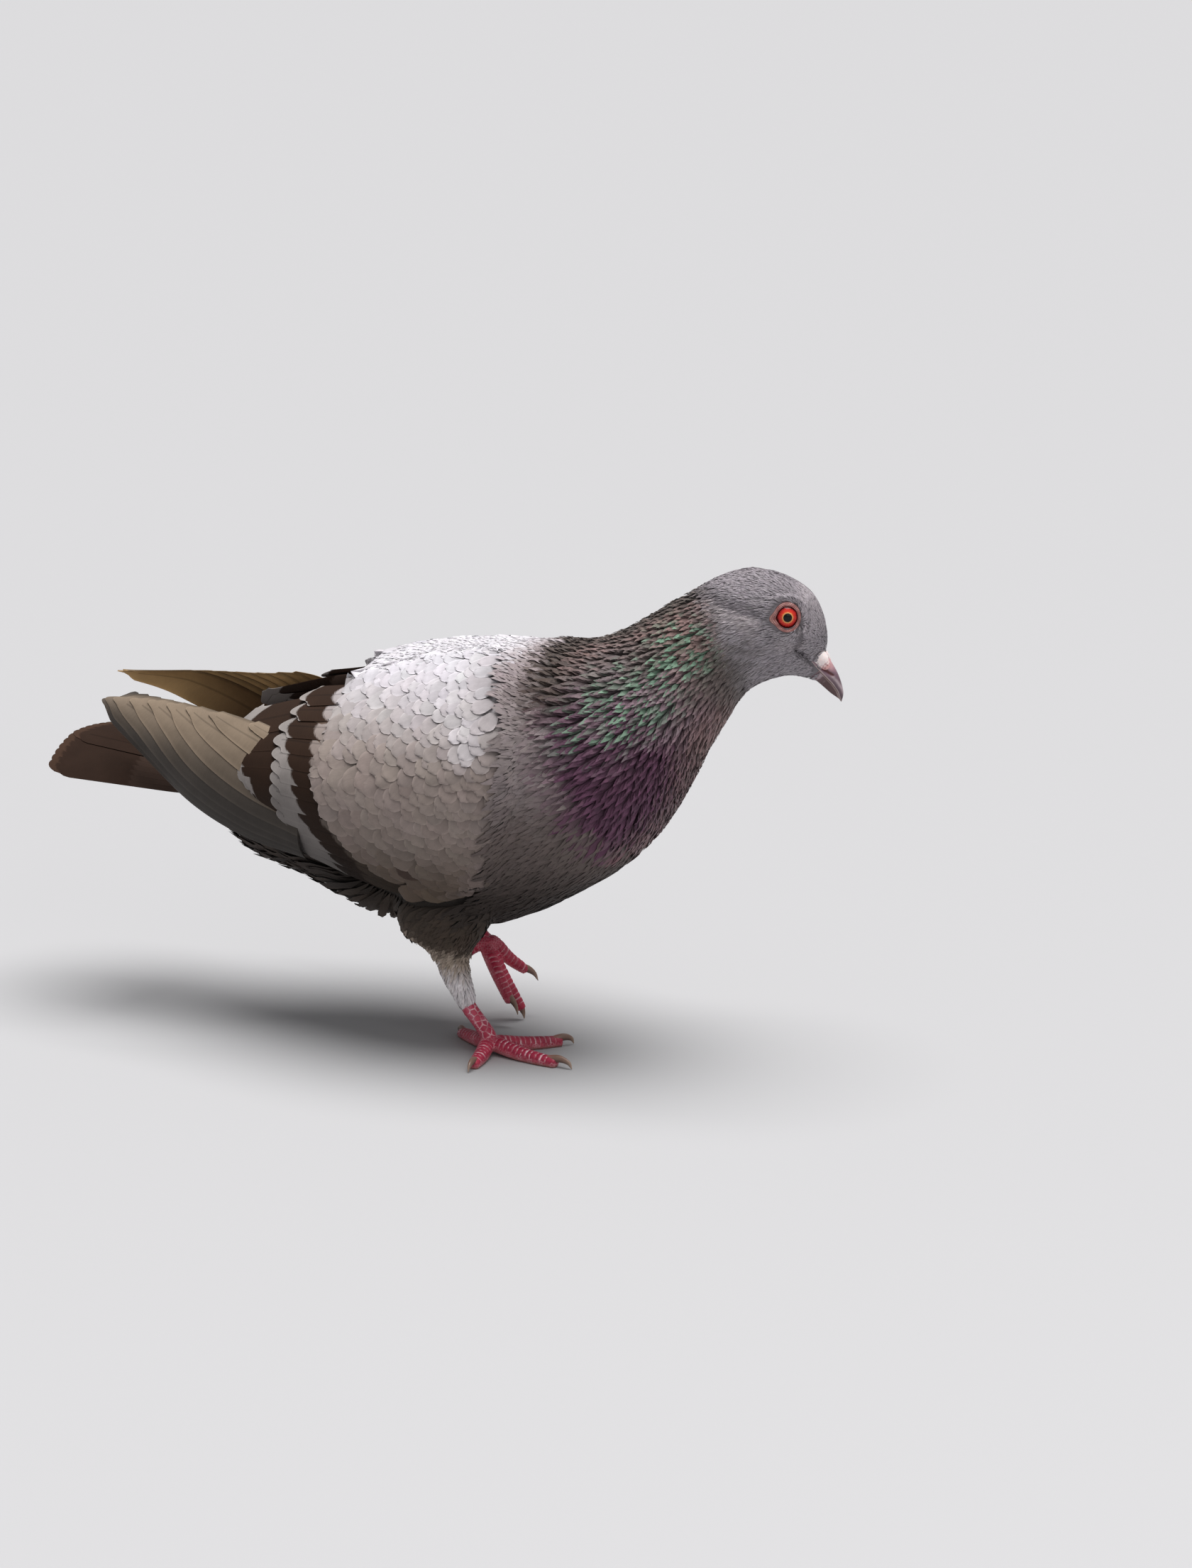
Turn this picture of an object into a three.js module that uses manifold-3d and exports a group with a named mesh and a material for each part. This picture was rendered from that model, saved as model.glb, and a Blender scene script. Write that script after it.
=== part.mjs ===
// A feral pigeon standing on one flat foot with the other pushing off: a still, life-size model.
// Millimetres. +X is the way the body faces, +Y its left side, +Z up. The ground is z = 0.
// The feathered body is one loft parted into head, neck and trunk. Wings, tail, legs, bill and eyes are
// solids of their own.
// The group is moved at the end so that its origin is the middle of the bounding box, at the ground.
import * as THREE from "three";
import { mergeVertices } from "three/addons/utils/BufferGeometryUtils.js";
import Module from "manifold-3d";

const wasm = await Module();
wasm.setup();

// ---- Driving sizes ------------------------------------------------------------------------------

const DEG = Math.PI / 180;
const GAP = 0.3; // clearance between neighbouring solids
const NECK_BEND_FROM = 20; // x where the neck starts to turn to the left
const NECK_BEND_TO = 80; // x where the head is reached
const NECK_BEND = 17 * DEG; // how far the head is turned from the body's line
const EYE = { x: 105.2, z: 171.2, side: 8.4, radius: 5.7 };
const LEFT_WING_BACK = 11; // the left wing is folded a little further back than the right one
const LEFT_WING_LIFT = 1.5 * DEG; // and its tip is carried a little higher
const LEFT_WING_DROP = 0.8;
const PARTING = 0.006; // share of the body loft left out at each thin cut

// The body's profile: the back and belly points of each section in the middle plane, and its half width.
// "full" is the superellipse exponent: 2 is an ellipse, more is squarer. "high" lifts the widest level.
const BODY = [
  { back: [-116, 99], belly: [-143, 85.5], half: 10, full: 2.0, high: 0 }, // undertail
  { back: [-107, 106], belly: [-128, 74.5], half: 17, full: 2.0, high: 0 },
  { back: [-93, 116], belly: [-108, 65], half: 23, full: 2.0, high: 0 }, // vent
  { back: [-75, 127.5], belly: [-84, 60], half: 30, full: 2.05, high: 0.05 },
  { back: [-50, 140], belly: [-57, 49], half: 37.5, full: 2.1, high: 0.08 },
  { back: [-26, 149], belly: [-28, 43.5], half: 42, full: 2.15, high: 0.08 }, // belly
  { back: [-3, 154], belly: [0, 46.5], half: 43.5, full: 2.2, high: 0.05 },
  { back: [15, 156.2], belly: [22, 57.5], half: 43, full: 2.2, high: 0.02 },
  { back: [27, 156.8], belly: [41, 69], half: 40, full: 2.15, high: -0.05 }, // breast
  { back: [35, 158.4], belly: [54, 80.5], half: 35.5, full: 2.1, high: -0.08 },
  { back: [42, 161.3], belly: [63, 92], half: 31, full: 2.05, high: -0.08 },
  { back: [50, 165.5], belly: [70.5, 105.5], half: 26, full: 2.0, high: -0.08 }, // neck
  { back: [60, 172], belly: [77.5, 119.5], half: 21.5, full: 2.0, high: -0.04 },
  { back: [70.5, 178.7], belly: [84, 130.5], half: 18, full: 2.0, high: 0 },
  { back: [81, 184.6], belly: [89.3, 139.6], half: 16.2, full: 2.0, high: 0 }, // nape
  { back: [91.8, 187], belly: [95, 143.9], half: 15.2, full: 2.05, high: 0 },
  { back: [102.2, 184.9], belly: [101.5, 146.5], half: 14.3, full: 2.35, high: 0.08 }, // eye
  { back: [110.1, 181.2], belly: [106, 147.4], half: 13.4, full: 2.35, high: 0.08 },
  { back: [115.3, 176.4], belly: [110, 146.8], half: 9.6, full: 2.2, high: 0.06 },
  { back: [118.7, 168.8], belly: [112.9, 146], half: 6.1, full: 2.1, high: -0.1 }, // forehead
  { back: [119.8, 162], belly: [115, 145.3], half: 4.7, full: 2.1, high: -0.1 },
  { back: [119.4, 157.8], belly: [117.7, 144.7], half: 3.5, full: 2.1, high: 0 }, // bill's base
];
const NECK_STARTS = 8.6; // in stations of BODY
const HEAD_STARTS = 13.6;
const SIDES = { trunk: 28, neck: 26, head: 26 };
const STEPS = { trunk: 13, neck: 6, head: 11 };

// ---- Shared makers ------------------------------------------------------------------------------

// Turns a point of the straight bird with the neck: an arc between NECK_BEND_FROM and NECK_BEND_TO, then
// straight.
function turnNeck(p) {
  if (p.x <= NECK_BEND_FROM) return p.clone();
  const arcRadius = (NECK_BEND_TO - NECK_BEND_FROM) / NECK_BEND;
  const along = Math.min(p.x, NECK_BEND_TO) - NECK_BEND_FROM;
  const angle = along / arcRadius;
  const rest = Math.max(p.x - NECK_BEND_TO, 0);
  return new THREE.Vector3(
    NECK_BEND_FROM + arcRadius * Math.sin(angle) + rest * Math.cos(angle) - p.y * Math.sin(angle),
    arcRadius * (1 - Math.cos(angle)) + rest * Math.sin(angle) + p.y * Math.cos(angle),
    p.z,
  );
}

// A closed solid through rings of points, each ring with the same count. An end is a fan on a middle point,
// or on a thin "sheet", whose rings run out along one face and back along the other, strips between the two.
function loft(rings, { sheet = false } = {}) {
  const count = rings[0].length;
  const points = rings.flat();
  const triangles = [];
  rings.slice(1).forEach((_, i) => {
    for (let k = 0; k < count; k++) {
      const a = i * count + k;
      const b = i * count + ((k + 1) % count);
      triangles.push(a, b, a + count, b, b + count, a + count);
    }
  });
  const lastRing = (rings.length - 1) * count;
  if (sheet) {
    for (let k = 0; k < count / 2 - 1; k++) {
      const [a, b, c, d] = [k, k + 1, count - 2 - k, count - 1 - k];
      triangles.push(b, a, d, b, d, c);
      triangles.push(...[a, b, d, b, c, d].map((v) => lastRing + v));
    }
  } else {
    const first = points.length;
    const last = first + 1;
    points.push(middle(rings[0]), middle(rings[rings.length - 1]));
    for (let k = 0; k < count; k++) {
      const next = (k + 1) % count;
      triangles.push(first, next, k);
      triangles.push(last, lastRing + k, lastRing + next);
    }
  }
  const geometry = new THREE.BufferGeometry().setFromPoints(points);
  geometry.setIndex(triangles);
  return geometry;
}

function middle(ring) {
  return ring.reduce((sum, p) => sum.add(p), new THREE.Vector3()).divideScalar(ring.length);
}

// A closed geometry as a manifold-3d solid, turned the right way out.
function solidOf(geometry) {
  const plain = geometry.clone();
  plain.deleteAttribute("normal");
  plain.deleteAttribute("uv");
  const merged = mergeVertices(plain, 1e-4);
  const vertProperties = new Float32Array(merged.attributes.position.array);
  const make = (triVerts) => new wasm.Manifold(new wasm.Mesh({ numProp: 3, vertProperties, triVerts }));
  const triVerts = new Uint32Array(merged.index.array);
  const solid = make(triVerts);
  if (solid.volume() > 0) return solid;
  return make(triVerts.map((_, i, all) => all[i - (i % 3) + [0, 2, 1][i % 3]]));
}

function geometryOf(solid) {
  const { vertProperties, triVerts } = solid.getMesh();
  const geometry = new THREE.BufferGeometry();
  geometry.setAttribute("position", new THREE.BufferAttribute(vertProperties, 3));
  geometry.setIndex(new THREE.BufferAttribute(triVerts, 1));
  return geometry;
}

// The largest of a solid's separate pieces: a cut can leave slivers behind.
function largest(solid) {
  return solid.decompose().reduce((best, piece) => (piece.volume() > best.volume() ? piece : best));
}

const curve = (points) => new THREE.CatmullRomCurve3(points, false, "catmullrom", 0.5);
const at = (x, y, z) => new THREE.Vector3(x, y, z);
const lerp = THREE.MathUtils.lerp;
const UP = at(0, 0, 1);
const FORWARD = at(1, 0, 0);
const mirrored = (geometry) => geometry.clone().scale(1, -1, 1);

// A limb along a curve: "sections" are [share of length, radius, width / radius].
// The width lies square to "facing".
function limb(points, sections, sides, steps, { grow = 0, facing = UP } = {}) {
  const path = curve(points);
  const sectionAt = (t) => {
    const i = Math.max(1, sections.findIndex(([share]) => share >= t - 1e-9));
    const [[t0, r0, w0], [t1, r1, w1]] = [sections[i - 1], sections[i]];
    const share = (t - t0) / (t1 - t0);
    const radius = lerp(r0, r1, share);
    return [radius + grow, radius * lerp(w0, w1, share) + grow];
  };
  const rings = [];
  for (let i = 0; i <= steps; i++) {
    const t = i / steps;
    const centre = path.getPointAt(t);
    const along = path.getTangentAt(t);
    const side = facing.clone().cross(along).normalize();
    const up = along.clone().cross(side).normalize();
    const [radius, width] = sectionAt(t);
    rings.push(
      Array.from({ length: sides }, (_, k) => {
        const turn = (k / sides) * 2 * Math.PI;
        return centre
          .clone()
          .addScaledVector(side, width * Math.cos(turn))
          .addScaledVector(up, radius * Math.sin(turn));
      }),
    );
  }
  return loft(rings);
}

// ---- Body ---------------------------------------------------------------------------------------

const backLine = curve(BODY.map((s) => at(s.back[0], 0, s.back[1])));
const bellyLine = curve(BODY.map((s) => at(s.belly[0], 0, s.belly[1])));
const sizeLine = curve(BODY.map((s) => at(s.half, s.full, s.high)));

// One section ring of the body at a station, grown outwards by "grow".
function bodyRing(station, sides, grow = 0) {
  const t = station / (BODY.length - 1);
  const back = backLine.getPoint(t);
  const belly = bellyLine.getPoint(t);
  const { x: half, y: full, z: high } = sizeLine.getPoint(t);
  const centre = back.clone().add(belly).divideScalar(2);
  const rise = back.clone().sub(belly).divideScalar(2);
  rise.setLength(rise.length() + grow);
  return Array.from({ length: sides }, (_, k) => {
    const turn = (k / sides) * 2 * Math.PI;
    const power = (v) => Math.sign(v) * Math.abs(v) ** (2 / full);
    const up = power(Math.cos(turn));
    const lifted = up + high * (1 - up * up);
    const p = centre.clone().addScaledVector(rise, lifted);
    p.y = (half + grow) * power(Math.sin(turn));
    return turnNeck(p);
  });
}

function bodyLoft(from, to, steps, sides) {
  return loft(Array.from({ length: steps + 1 }, (_, i) => bodyRing(lerp(from, to, i / steps), sides)));
}

// The same loft with GAP to spare all round, for cutting its neighbours back.
function bodyCutter(from, to, steps, sides) {
  const rings = Array.from({ length: steps + 1 }, (_, i) => bodyRing(lerp(from, to, i / steps), sides, GAP));
  const moved = (ring, x, y, z) => ring.map((p) => p.clone().add(at(x, y, z)));
  const ahead = turnNeck(at(200, 0, 0)).sub(turnNeck(at(199, 0, 0))).multiplyScalar(GAP);
  return loft([moved(rings[0], -GAP, 0, 0), ...rings, moved(rings[steps], 2 * ahead.x, 2 * ahead.y, 0)]);
}

const lastStation = BODY.length - 1;
const cut = PARTING * lastStation;
const trunkWhole = solidOf(bodyLoft(0, NECK_STARTS - cut / 2, STEPS.trunk, SIDES.trunk));
const trunkGrown = solidOf(bodyCutter(0, NECK_STARTS - cut / 2, STEPS.trunk, SIDES.trunk));
const neck = solidOf(bodyLoft(NECK_STARTS + cut / 2, HEAD_STARTS - cut / 2, STEPS.neck, SIDES.neck));
const headWhole = solidOf(bodyLoft(HEAD_STARTS + cut / 2, lastStation, STEPS.head, SIDES.head));
const headGrown = solidOf(bodyCutter(HEAD_STARTS + cut / 2, lastStation, STEPS.head, SIDES.head));

// ---- Eyes ---------------------------------------------------------------------------------------

function eyeBall(side, grow) {
  const centre = turnNeck(at(EYE.x, side * EYE.side, EYE.z));
  const ball = new THREE.SphereGeometry(EYE.radius + grow, 12, 8);
  return solidOf(ball.translate(centre.x, centre.y, centre.z));
}
const eyes = { right: eyeBall(-1, 0), left: eyeBall(1, 0) };
// The bare lid is a flat ring round the eye, drawn out to a point behind it.
const LID = { ring: 4.9, thick: 1.1, flat: 0.8, corner: 1.5, side: 12.7, lean: 14 * DEG };
function eyeLid(side) {
  const ring = new THREE.TorusGeometry(LID.ring, LID.thick, 5, 14);
  const places = ring.getAttribute("position");
  for (let i = 0; i < places.count; i++) {
    const p = new THREE.Vector3().fromBufferAttribute(places, i);
    const round = Math.hypot(p.x, p.y);
    const rear = Math.max(0, -p.x / round) ** 6;
    p.x -= rear * LID.corner;
    p.z *= LID.flat;
    p.applyAxisAngle(new THREE.Vector3(1, 0, 0), Math.PI / 2);
    p.applyAxisAngle(new THREE.Vector3(0, 0, 1), -LID.lean);
    const q = turnNeck(at(EYE.x + p.x, side * (LID.side + p.y), EYE.z + p.z));
    places.setXYZ(i, q.x, q.y, q.z);
  }
  return solidOf(ring);
}
const ballsGrown = eyeBall(-1, GAP).add(eyeBall(1, GAP));
const lids = {
  right: largest(eyeLid(-1).subtract(ballsGrown).subtract(headGrown)),
  left: largest(eyeLid(1).subtract(ballsGrown).subtract(headGrown)),
};
const head = largest(headWhole.subtract(ballsGrown));

// ---- Bill ---------------------------------------------------------------------------------------

// Both mandibles are lofts between two profile lines that meet at the mouth line.
const CULMEN = [[116.5, 157.5], [119.6, 153.6], [122.6, 149.4], [125.2, 144.2], [125.8, 138.2]];
const MOUTH = [[111.5, 156], [115.4, 151.6], [119.4, 147.5], [122.6, 143.8], [125.3, 138.4]];
const GONYS = [[113.6, 147.8], [116.6, 144.8], [119.8, 141.9], [122.2, 140], [124.9, 138.7]];
const BILL_HALF = { upper: [4.4, 3.6, 2.8, 2, 0.5], lower: [4.1, 3.2, 2.4, 1.6, 0.5] };

function mandible(topLine, lowLine, halves, topShift, lowShift) {
  const top = curve(topLine.map(([x, z]) => at(x, 0, z)));
  const low = curve(lowLine.map(([x, z]) => at(x, 0, z)));
  const wide = curve(halves.map((h, i) => at(h, i, 0)));
  const steps = 7;
  const sides = 8;
  const rings = [];
  for (let i = 0; i <= steps; i++) {
    const t = i / steps;
    const a = top.getPoint(t);
    const b = low.getPoint(t);
    const across = a.clone().sub(b).normalize();
    a.addScaledVector(across, topShift);
    b.addScaledVector(across, lowShift);
    const centre = a.clone().add(b).divideScalar(2);
    const rise = a.clone().sub(b).divideScalar(2);
    const half = wide.getPoint(t).x;
    rings.push(
      Array.from({ length: sides }, (_, k) => {
        const turn = (k / sides) * 2 * Math.PI;
        const p = centre.clone().addScaledVector(rise, Math.cos(turn));
        p.y = half * Math.sin(turn);
        return turnNeck(p);
      }),
    );
  }
  return solidOf(loft(rings));
}
const billUpper = mandible(CULMEN, MOUTH, BILL_HALF.upper, 0, GAP / 2).subtract(headGrown);
const billLower = mandible(MOUTH, GONYS, BILL_HALF.lower, -GAP, 0).subtract(headGrown);
const billUpperGrown = mandible(CULMEN, MOUTH, BILL_HALF.upper.map((h) => h + GAP), GAP, -GAP);

// The cere: a white fleshy swelling of two lobes over the nostrils, at the foot of the upper mandible.
const CERE = { x: 118.9, z: 154.4, side: 1.6, length: 4.2, depth: 2.2, width: 2.3, slope: -58 * DEG };
function cereLobe(side) {
  const lobe = new THREE.SphereGeometry(1, 10, 6);
  lobe.scale(CERE.length, CERE.width, CERE.depth);
  lobe.rotateY(-CERE.slope);
  lobe.translate(CERE.x, side * CERE.side, CERE.z);
  const places = lobe.getAttribute("position");
  for (let i = 0; i < places.count; i++) {
    const p = turnNeck(new THREE.Vector3().fromBufferAttribute(places, i));
    places.setXYZ(i, p.x, p.y, p.z);
  }
  return solidOf(lobe);
}
const cere = largest(cereLobe(-1).add(cereLobe(1)).subtract(billUpperGrown).subtract(headGrown));

// ---- Wings --------------------------------------------------------------------------------------

// A folded wing is a sheet of feathers wrapped round the flank. At each station the outer face is an arc
// from the top edge to the low edge, pulled out by a control point. These are the right wing's; the left
// one is mirrored.
const COVERTS = [
  { top: [24, -22, 147], out: [33, -43, 118], low: [20, -33, 86] },
  { top: [11, -17, 154.4], out: [15, -74, 123], low: [8, -38, 69] },
  { top: [-8, -12, 155.2], out: [-6, -84, 117], low: [-9, -35, 61.5] },
  { top: [-30, -11, 150.2], out: [-29, -83, 110], low: [-32, -33, 60.5] },
  { top: [-50, -10, 143.6], out: [-50, -77, 106], low: [-52, -33, 65.5] },
  { top: [-64, -9.5, 137.8], out: [-64, -71, 104], low: [-66, -33, 70.5] },
];
const SECONDARIES = [
  { top: [-64.6, -9.5, 137.5], out: [-64.6, -70, 104], low: [-66.6, -32, 71] },
  { top: [-78, -9, 133], out: [-80, -63, 103], low: [-80, -31, 75] },
  { top: [-91, -9.5, 127.5], out: [-94, -55, 102], low: [-92, -30, 80.5] },
  { top: [-103, -12, 121.5], out: [-107, -45, 103], low: [-103, -29, 88] },
  { top: [-112, -17, 114.5], out: [-113, -29, 109], low: [-111, -25, 103] },
];
const PRIMARIES = {
  right: [
    { top: [-67, -30, 112], out: [-69, -56, 84], low: [-73, -33, 69] },
    { top: [-92, -24, 119.5], out: [-94, -50, 92], low: [-98, -32, 74.5] },
    { top: [-118, -18, 121.5], out: [-121, -42, 102], low: [-124, -28, 85] },
    { top: [-144, -14, 123], out: [-148, -29, 111], low: [-152, -21, 102.5] },
    { top: [-168, -12, 122], out: [-171.5, -18, 119], low: [-173, -15, 115] },
  ],
  left: [
    { top: [-67, -30, 112], out: [-69, -56, 88], low: [-73, -33, 72] },
    { top: [-94, -22, 129.5], out: [-96, -50, 98], low: [-100, -32, 78] },
    { top: [-120, -17, 129], out: [-124, -42, 108], low: [-127, -28, 89] },
    { top: [-148, -14, 127.6], out: [-153, -29, 117], low: [-158, -21, 106] },
    { top: [-176, -12, 125.6], out: [-181, -18, 122.5], low: [-183, -15, 118.5] },
  ],
};

// A sheet through wing stations, "thick" deep at the start and "thin" at the far end, under its outer face
// by "under". "wider" carries it past its top and low edges, as a share of its width.
function wingSheet(stations, { thick, thin, under = 0, wider = 0, along, across }) {
  const lines = ["top", "out", "low"].map((name) => curve(stations.map((s) => at(...s[name]))));
  const arc = (s) => new THREE.QuadraticBezierCurve3(...lines.map((line) => line.getPoint(s)));
  const rings = [];
  for (let i = 0; i <= along; i++) {
    const s = i / along;
    const face = arc(s);
    const depth = lerp(thick, thin, THREE.MathUtils.smoothstep(s, 0, 1));
    const inward = (v) => {
      const t = face.getTangent(v);
      return new THREE.Vector3(0, -t.z, t.y).normalize();
    };
    const edge = (v) => 0.35 + 0.65 * Math.sin(Math.PI * v) ** 0.6;
    const outer = [];
    const inner = [];
    for (let k = 0; k <= across; k++) {
      const v = k / across;
      const p = face.getPoint(v * (1 + 2 * wider) - wider);
      outer.push(p.clone().addScaledVector(inward(v), under));
      inner.push(p.clone().addScaledVector(inward(v), under + depth * edge(v)));
    }
    rings.push([...outer, ...inner.reverse()]);
  }
  return loft(rings, { sheet: true });
}

function placeWing(geometry, side) {
  if (side < 0) return geometry;
  return mirrored(geometry).rotateY(LEFT_WING_LIFT).translate(-LEFT_WING_BACK, 0, -LEFT_WING_DROP);
}

// The same sheet with GAP to spare all round, for cutting its neighbours back.
function sheetCutter(stations, shape) {
  const wide = { ...shape, under: -GAP, wider: 0.006 };
  wide.thick += 2 * GAP;
  wide.thin += 2 * GAP;
  const moved = (station, by) => {
    const lines = Object.entries(station).map(([name, [x, y, z]]) => [name, [x + by, y, z]]);
    return Object.fromEntries(lines);
  };
  const before = moved(stations[0], GAP);
  const after = moved(stations[stations.length - 1], -GAP);
  return wingSheet([before, ...stations.slice(1, -1), after], wide);
}

const COVERT_SHAPE = { thick: 9, thin: 7, along: 8, across: 8 };
const SECONDARY_SHAPE = { thick: 3.2, thin: 2.4, along: 6, across: 8 };
const PRIMARY_SHAPE = { thick: 2.4, thin: 1.4, under: 2.2, along: 8, across: 6 };

function wingSolids(side) {
  const shield = solidOf(placeWing(wingSheet(COVERTS, COVERT_SHAPE), side));
  const secondaries = solidOf(placeWing(wingSheet(SECONDARIES, SECONDARY_SHAPE), side));
  const primaries = wingSheet(side < 0 ? PRIMARIES.right : PRIMARIES.left, PRIMARY_SHAPE);
  const shieldCutter = solidOf(placeWing(sheetCutter(COVERTS, COVERT_SHAPE), side));
  const secondaryCutter = solidOf(placeWing(sheetCutter(SECONDARIES, SECONDARY_SHAPE), side));
  const primaryBlade = solidOf(side < 0 ? primaries : mirrored(primaries));
  return {
    cutter: shieldCutter,
    shield: largest(shield.subtract(trunkGrown)),
    secondaries: largest(secondaries.subtract(trunkGrown)),
    primaries: largest(primaryBlade.subtract(trunkGrown).subtract(shieldCutter).subtract(secondaryCutter)),
  };
}
const wings = { right: wingSolids(-1), left: wingSolids(1) };

// ---- Tail ---------------------------------------------------------------------------------------

// Twelve tail feathers lie over one another in a narrow fan: a thin arched plate with a scalloped end.
const TAIL = {
  root: [-92, 0, 89.5],
  length: 103,
  rise: 5.5 * DEG,
  roll: 9 * DEG,
  rootHalf: 9,
  spread: 11.5 * DEG,
  arch: 2.5,
  feathers: 12,
};
function tailFan() {
  const along = 5;
  const across = 24;
  const surface = (t, u, lift) => {
    const lobe = Math.abs(Math.sin((u * TAIL.feathers * Math.PI) / 2));
    const reach = TAIL.length * (1 - 0.02 * u * u) - 1.6 * (1 - lobe) * t ** 6;
    const angle = u * TAIL.spread;
    const out = t * reach;
    const half = TAIL.rootHalf * (1 - 0.35 * t);
    const arch = -TAIL.arch * u * u * (0.4 + 0.6 * t);
    const side = u * half + out * Math.sin(angle);
    return at(
      TAIL.root[0] - out * Math.cos(angle) * Math.cos(TAIL.rise),
      side,
      TAIL.root[2] + out * Math.sin(TAIL.rise) + arch + side * Math.sin(TAIL.roll) + lift,
    );
  };
  const rings = [];
  for (let i = 0; i <= along; i++) {
    const t = i / along;
    const thick = lerp(7, 1.6, THREE.MathUtils.smoothstep(t, 0, 0.8));
    const row = (lift) =>
      Array.from({ length: across + 1 }, (_, k) => surface(t, (k / across) * 2 - 1, lift));
    const rim = (k) => 0.3 + 0.7 * Math.sin((Math.PI * k) / across) ** 0.5;
    const top = row(0).map((p, k) => p.setZ(p.z + (thick / 2) * rim(k)));
    const low = row(0).map((p, k) => p.setZ(p.z - (thick / 2) * rim(k)));
    rings.push([...top, ...low.reverse()]);
  }
  return solidOf(loft(rings, { sheet: true }));
}
const tail = largest(tailFan().subtract(trunkGrown));

// ---- Legs ---------------------------------------------------------------------------------------

// The feathered thigh runs from inside the trunk past the ankle; the bare shank and foot follow.
const LEGS = {
  right: {
    thigh: [
      [-19, -21, 64],
      [-18, -22.5, 54],
      [-16.5, -23.5, 46],
      [-15.6, -23.4, 38],
      [-14.4, -23.2, 31],
      [-8.4, -23, 17],
    ],
    thighSections: [
      [0, 20, 0.6],
      [0.2, 21, 0.62],
      [0.36, 17.5, 0.68],
      [0.5, 10, 0.9],
      [0.6, 7.8, 1],
      [0.72, 6.4, 1],
      [1, 4.2, 1],
    ],
    shank: [[-8.2, -23, 16.6], [-4.6, -23, 12.4], [-0.8, -23, 7.4]],
    ball: [0, -23, 3.7],
    toes: {
      back: [[-1, -21, 3.9], [-9, -15.4, 2.5], [-17.8, -9.2, 1.8]],
      inner: [[1, -22, 4.2], [9, -13.4, 2.3], [18.5, -3.6, 1.5]],
      middle: [[2, -23, 4.2], [14, -25.4, 2.3], [27, -28, 1.5]],
      outer: [[0, -24.5, 4.2], [1.6, -33, 2.3], [3, -41.5, 1.5]],
    },
    claws: {
      back: [[-17.2, -9.6, 2.6], [-20.4, -6.9, 2.9], [-21.8, -5.3, 0.25]],
      inner: [[18, -4.2, 2.5], [21.6, -0.8, 3], [23.6, 1.2, 0.25]],
      middle: [[26.5, -27.9, 2.5], [31.2, -28.8, 3], [34.8, -29.5, 0.25]],
      outer: [[2.9, -41, 2.5], [3.5, -45.6, 3], [3.8, -48.6, 0.25]],
    },
  },
  left: {
    thigh: [
      [-24, 21, 70],
      [-31, 22, 60],
      [-36.5, 22.6, 54],
      [-38.5, 22.8, 49.5],
      [-37, 22.6, 46],
      [-33.2, 22.2, 41.2],
    ],
    thighSections: [
      [0, 22, 0.62],
      [0.3, 20, 0.64],
      [0.5, 14, 0.75],
      [0.7, 8.4, 1],
      [0.82, 6.6, 1],
      [1, 4.4, 1],
    ],
    shank: [[-33.4, 22.2, 41.4], [-28.8, 21.7, 36], [-23.8, 21.2, 30.4]],
    ball: [-22.4, 21, 29],
    toes: {
      back: [[-24, 20, 29.6], [-29.6, 17.6, 26], [-32.4, 16, 20.6]],
      inner: [[-21.6, 19.4, 26.6], [-15.6, 15.6, 19], [-10.6, 14.6, 10.6]],
      middle: [[-22, 21, 27.6], [-16, 21.6, 16.4], [-9.9, 22.6, 5.8]],
      outer: [[-20.6, 22.4, 29.6], [-16.8, 27, 22.8], [-12.6, 31.2, 18]],
    },
    claws: {
      back: [[-32.3, 16.1, 21], [-33, 15.4, 16.8], [-31.6, 15, 13.8]],
      inner: [[-10.8, 14.6, 11], [-7.6, 14, 8.4], [-6, 13.6, 4.6]],
      middle: [[-10.6, 22.6, 6], [-8.4, 22.9, 3.4], [-7.8, 22.9, 0.1]],
      outer: [[-13, 30.9, 18.2], [-9.6, 33.4, 16.2], [-7.6, 34.8, 12.6]],
    },
  },
};
const SHANK_SECTIONS = [[0, 3.7, 1], [0.5, 3.3, 1], [1, 3.7, 1.1]];
const TOE_SECTIONS = [[0, 3.1, 1.05], [0.25, 2.8, 1.05], [0.75, 2.5, 1.05], [1, 1.8, 1.05]];
const CLAW_SECTIONS = [[0, 1.6, 0.8], [0.5, 1.25, 0.8], [1, 0.6, 0.8]];

const ground = solidOf(new THREE.BoxGeometry(400, 400, 100).translate(0, 0, -50));
const points = (list) => list.map((p) => at(...p));

function legSolids({ thigh, thighSections, shank, ball, toes, claws }, cover) {
  const shankLimb = solidOf(limb(points(shank), SHANK_SECTIONS, 10, 4, { facing: FORWARD }));
  const shankGrown = solidOf(limb(points(shank), SHANK_SECTIONS, 10, 4, { grow: GAP, facing: FORWARD }));
  const thighLimb = solidOf(limb(points(thigh), thighSections, 14, 10, { facing: FORWARD }));
  const thighCut = largest(thighLimb.subtract(trunkGrown).subtract(shankGrown).subtract(cover));
  let foot = solidOf(new THREE.SphereGeometry(4.2, 8, 6).scale(1.1, 1, 1).translate(...ball));
  for (const toe of Object.values(toes)) foot = foot.add(solidOf(limb(points(toe), TOE_SECTIONS, 6, 4)));
  const clawCuts = {};
  for (const [name, claw] of Object.entries(claws)) {
    clawCuts[name] = solidOf(limb(points(claw), CLAW_SECTIONS, 6, 4)).subtract(ground);
    foot = foot.subtract(solidOf(limb(points(claw), CLAW_SECTIONS, 6, 4, { grow: GAP })));
  }
  foot = largest(foot.subtract(shankGrown).subtract(ground));
  return { thigh: thighCut, shank: shankLimb, foot, claws: clawCuts };
}
const legs = {
  right: legSolids(LEGS.right, wings.right.cutter),
  left: legSolids(LEGS.left, wings.left.cutter),
};

// ---- The bird -----------------------------------------------------------------------------------

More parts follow.
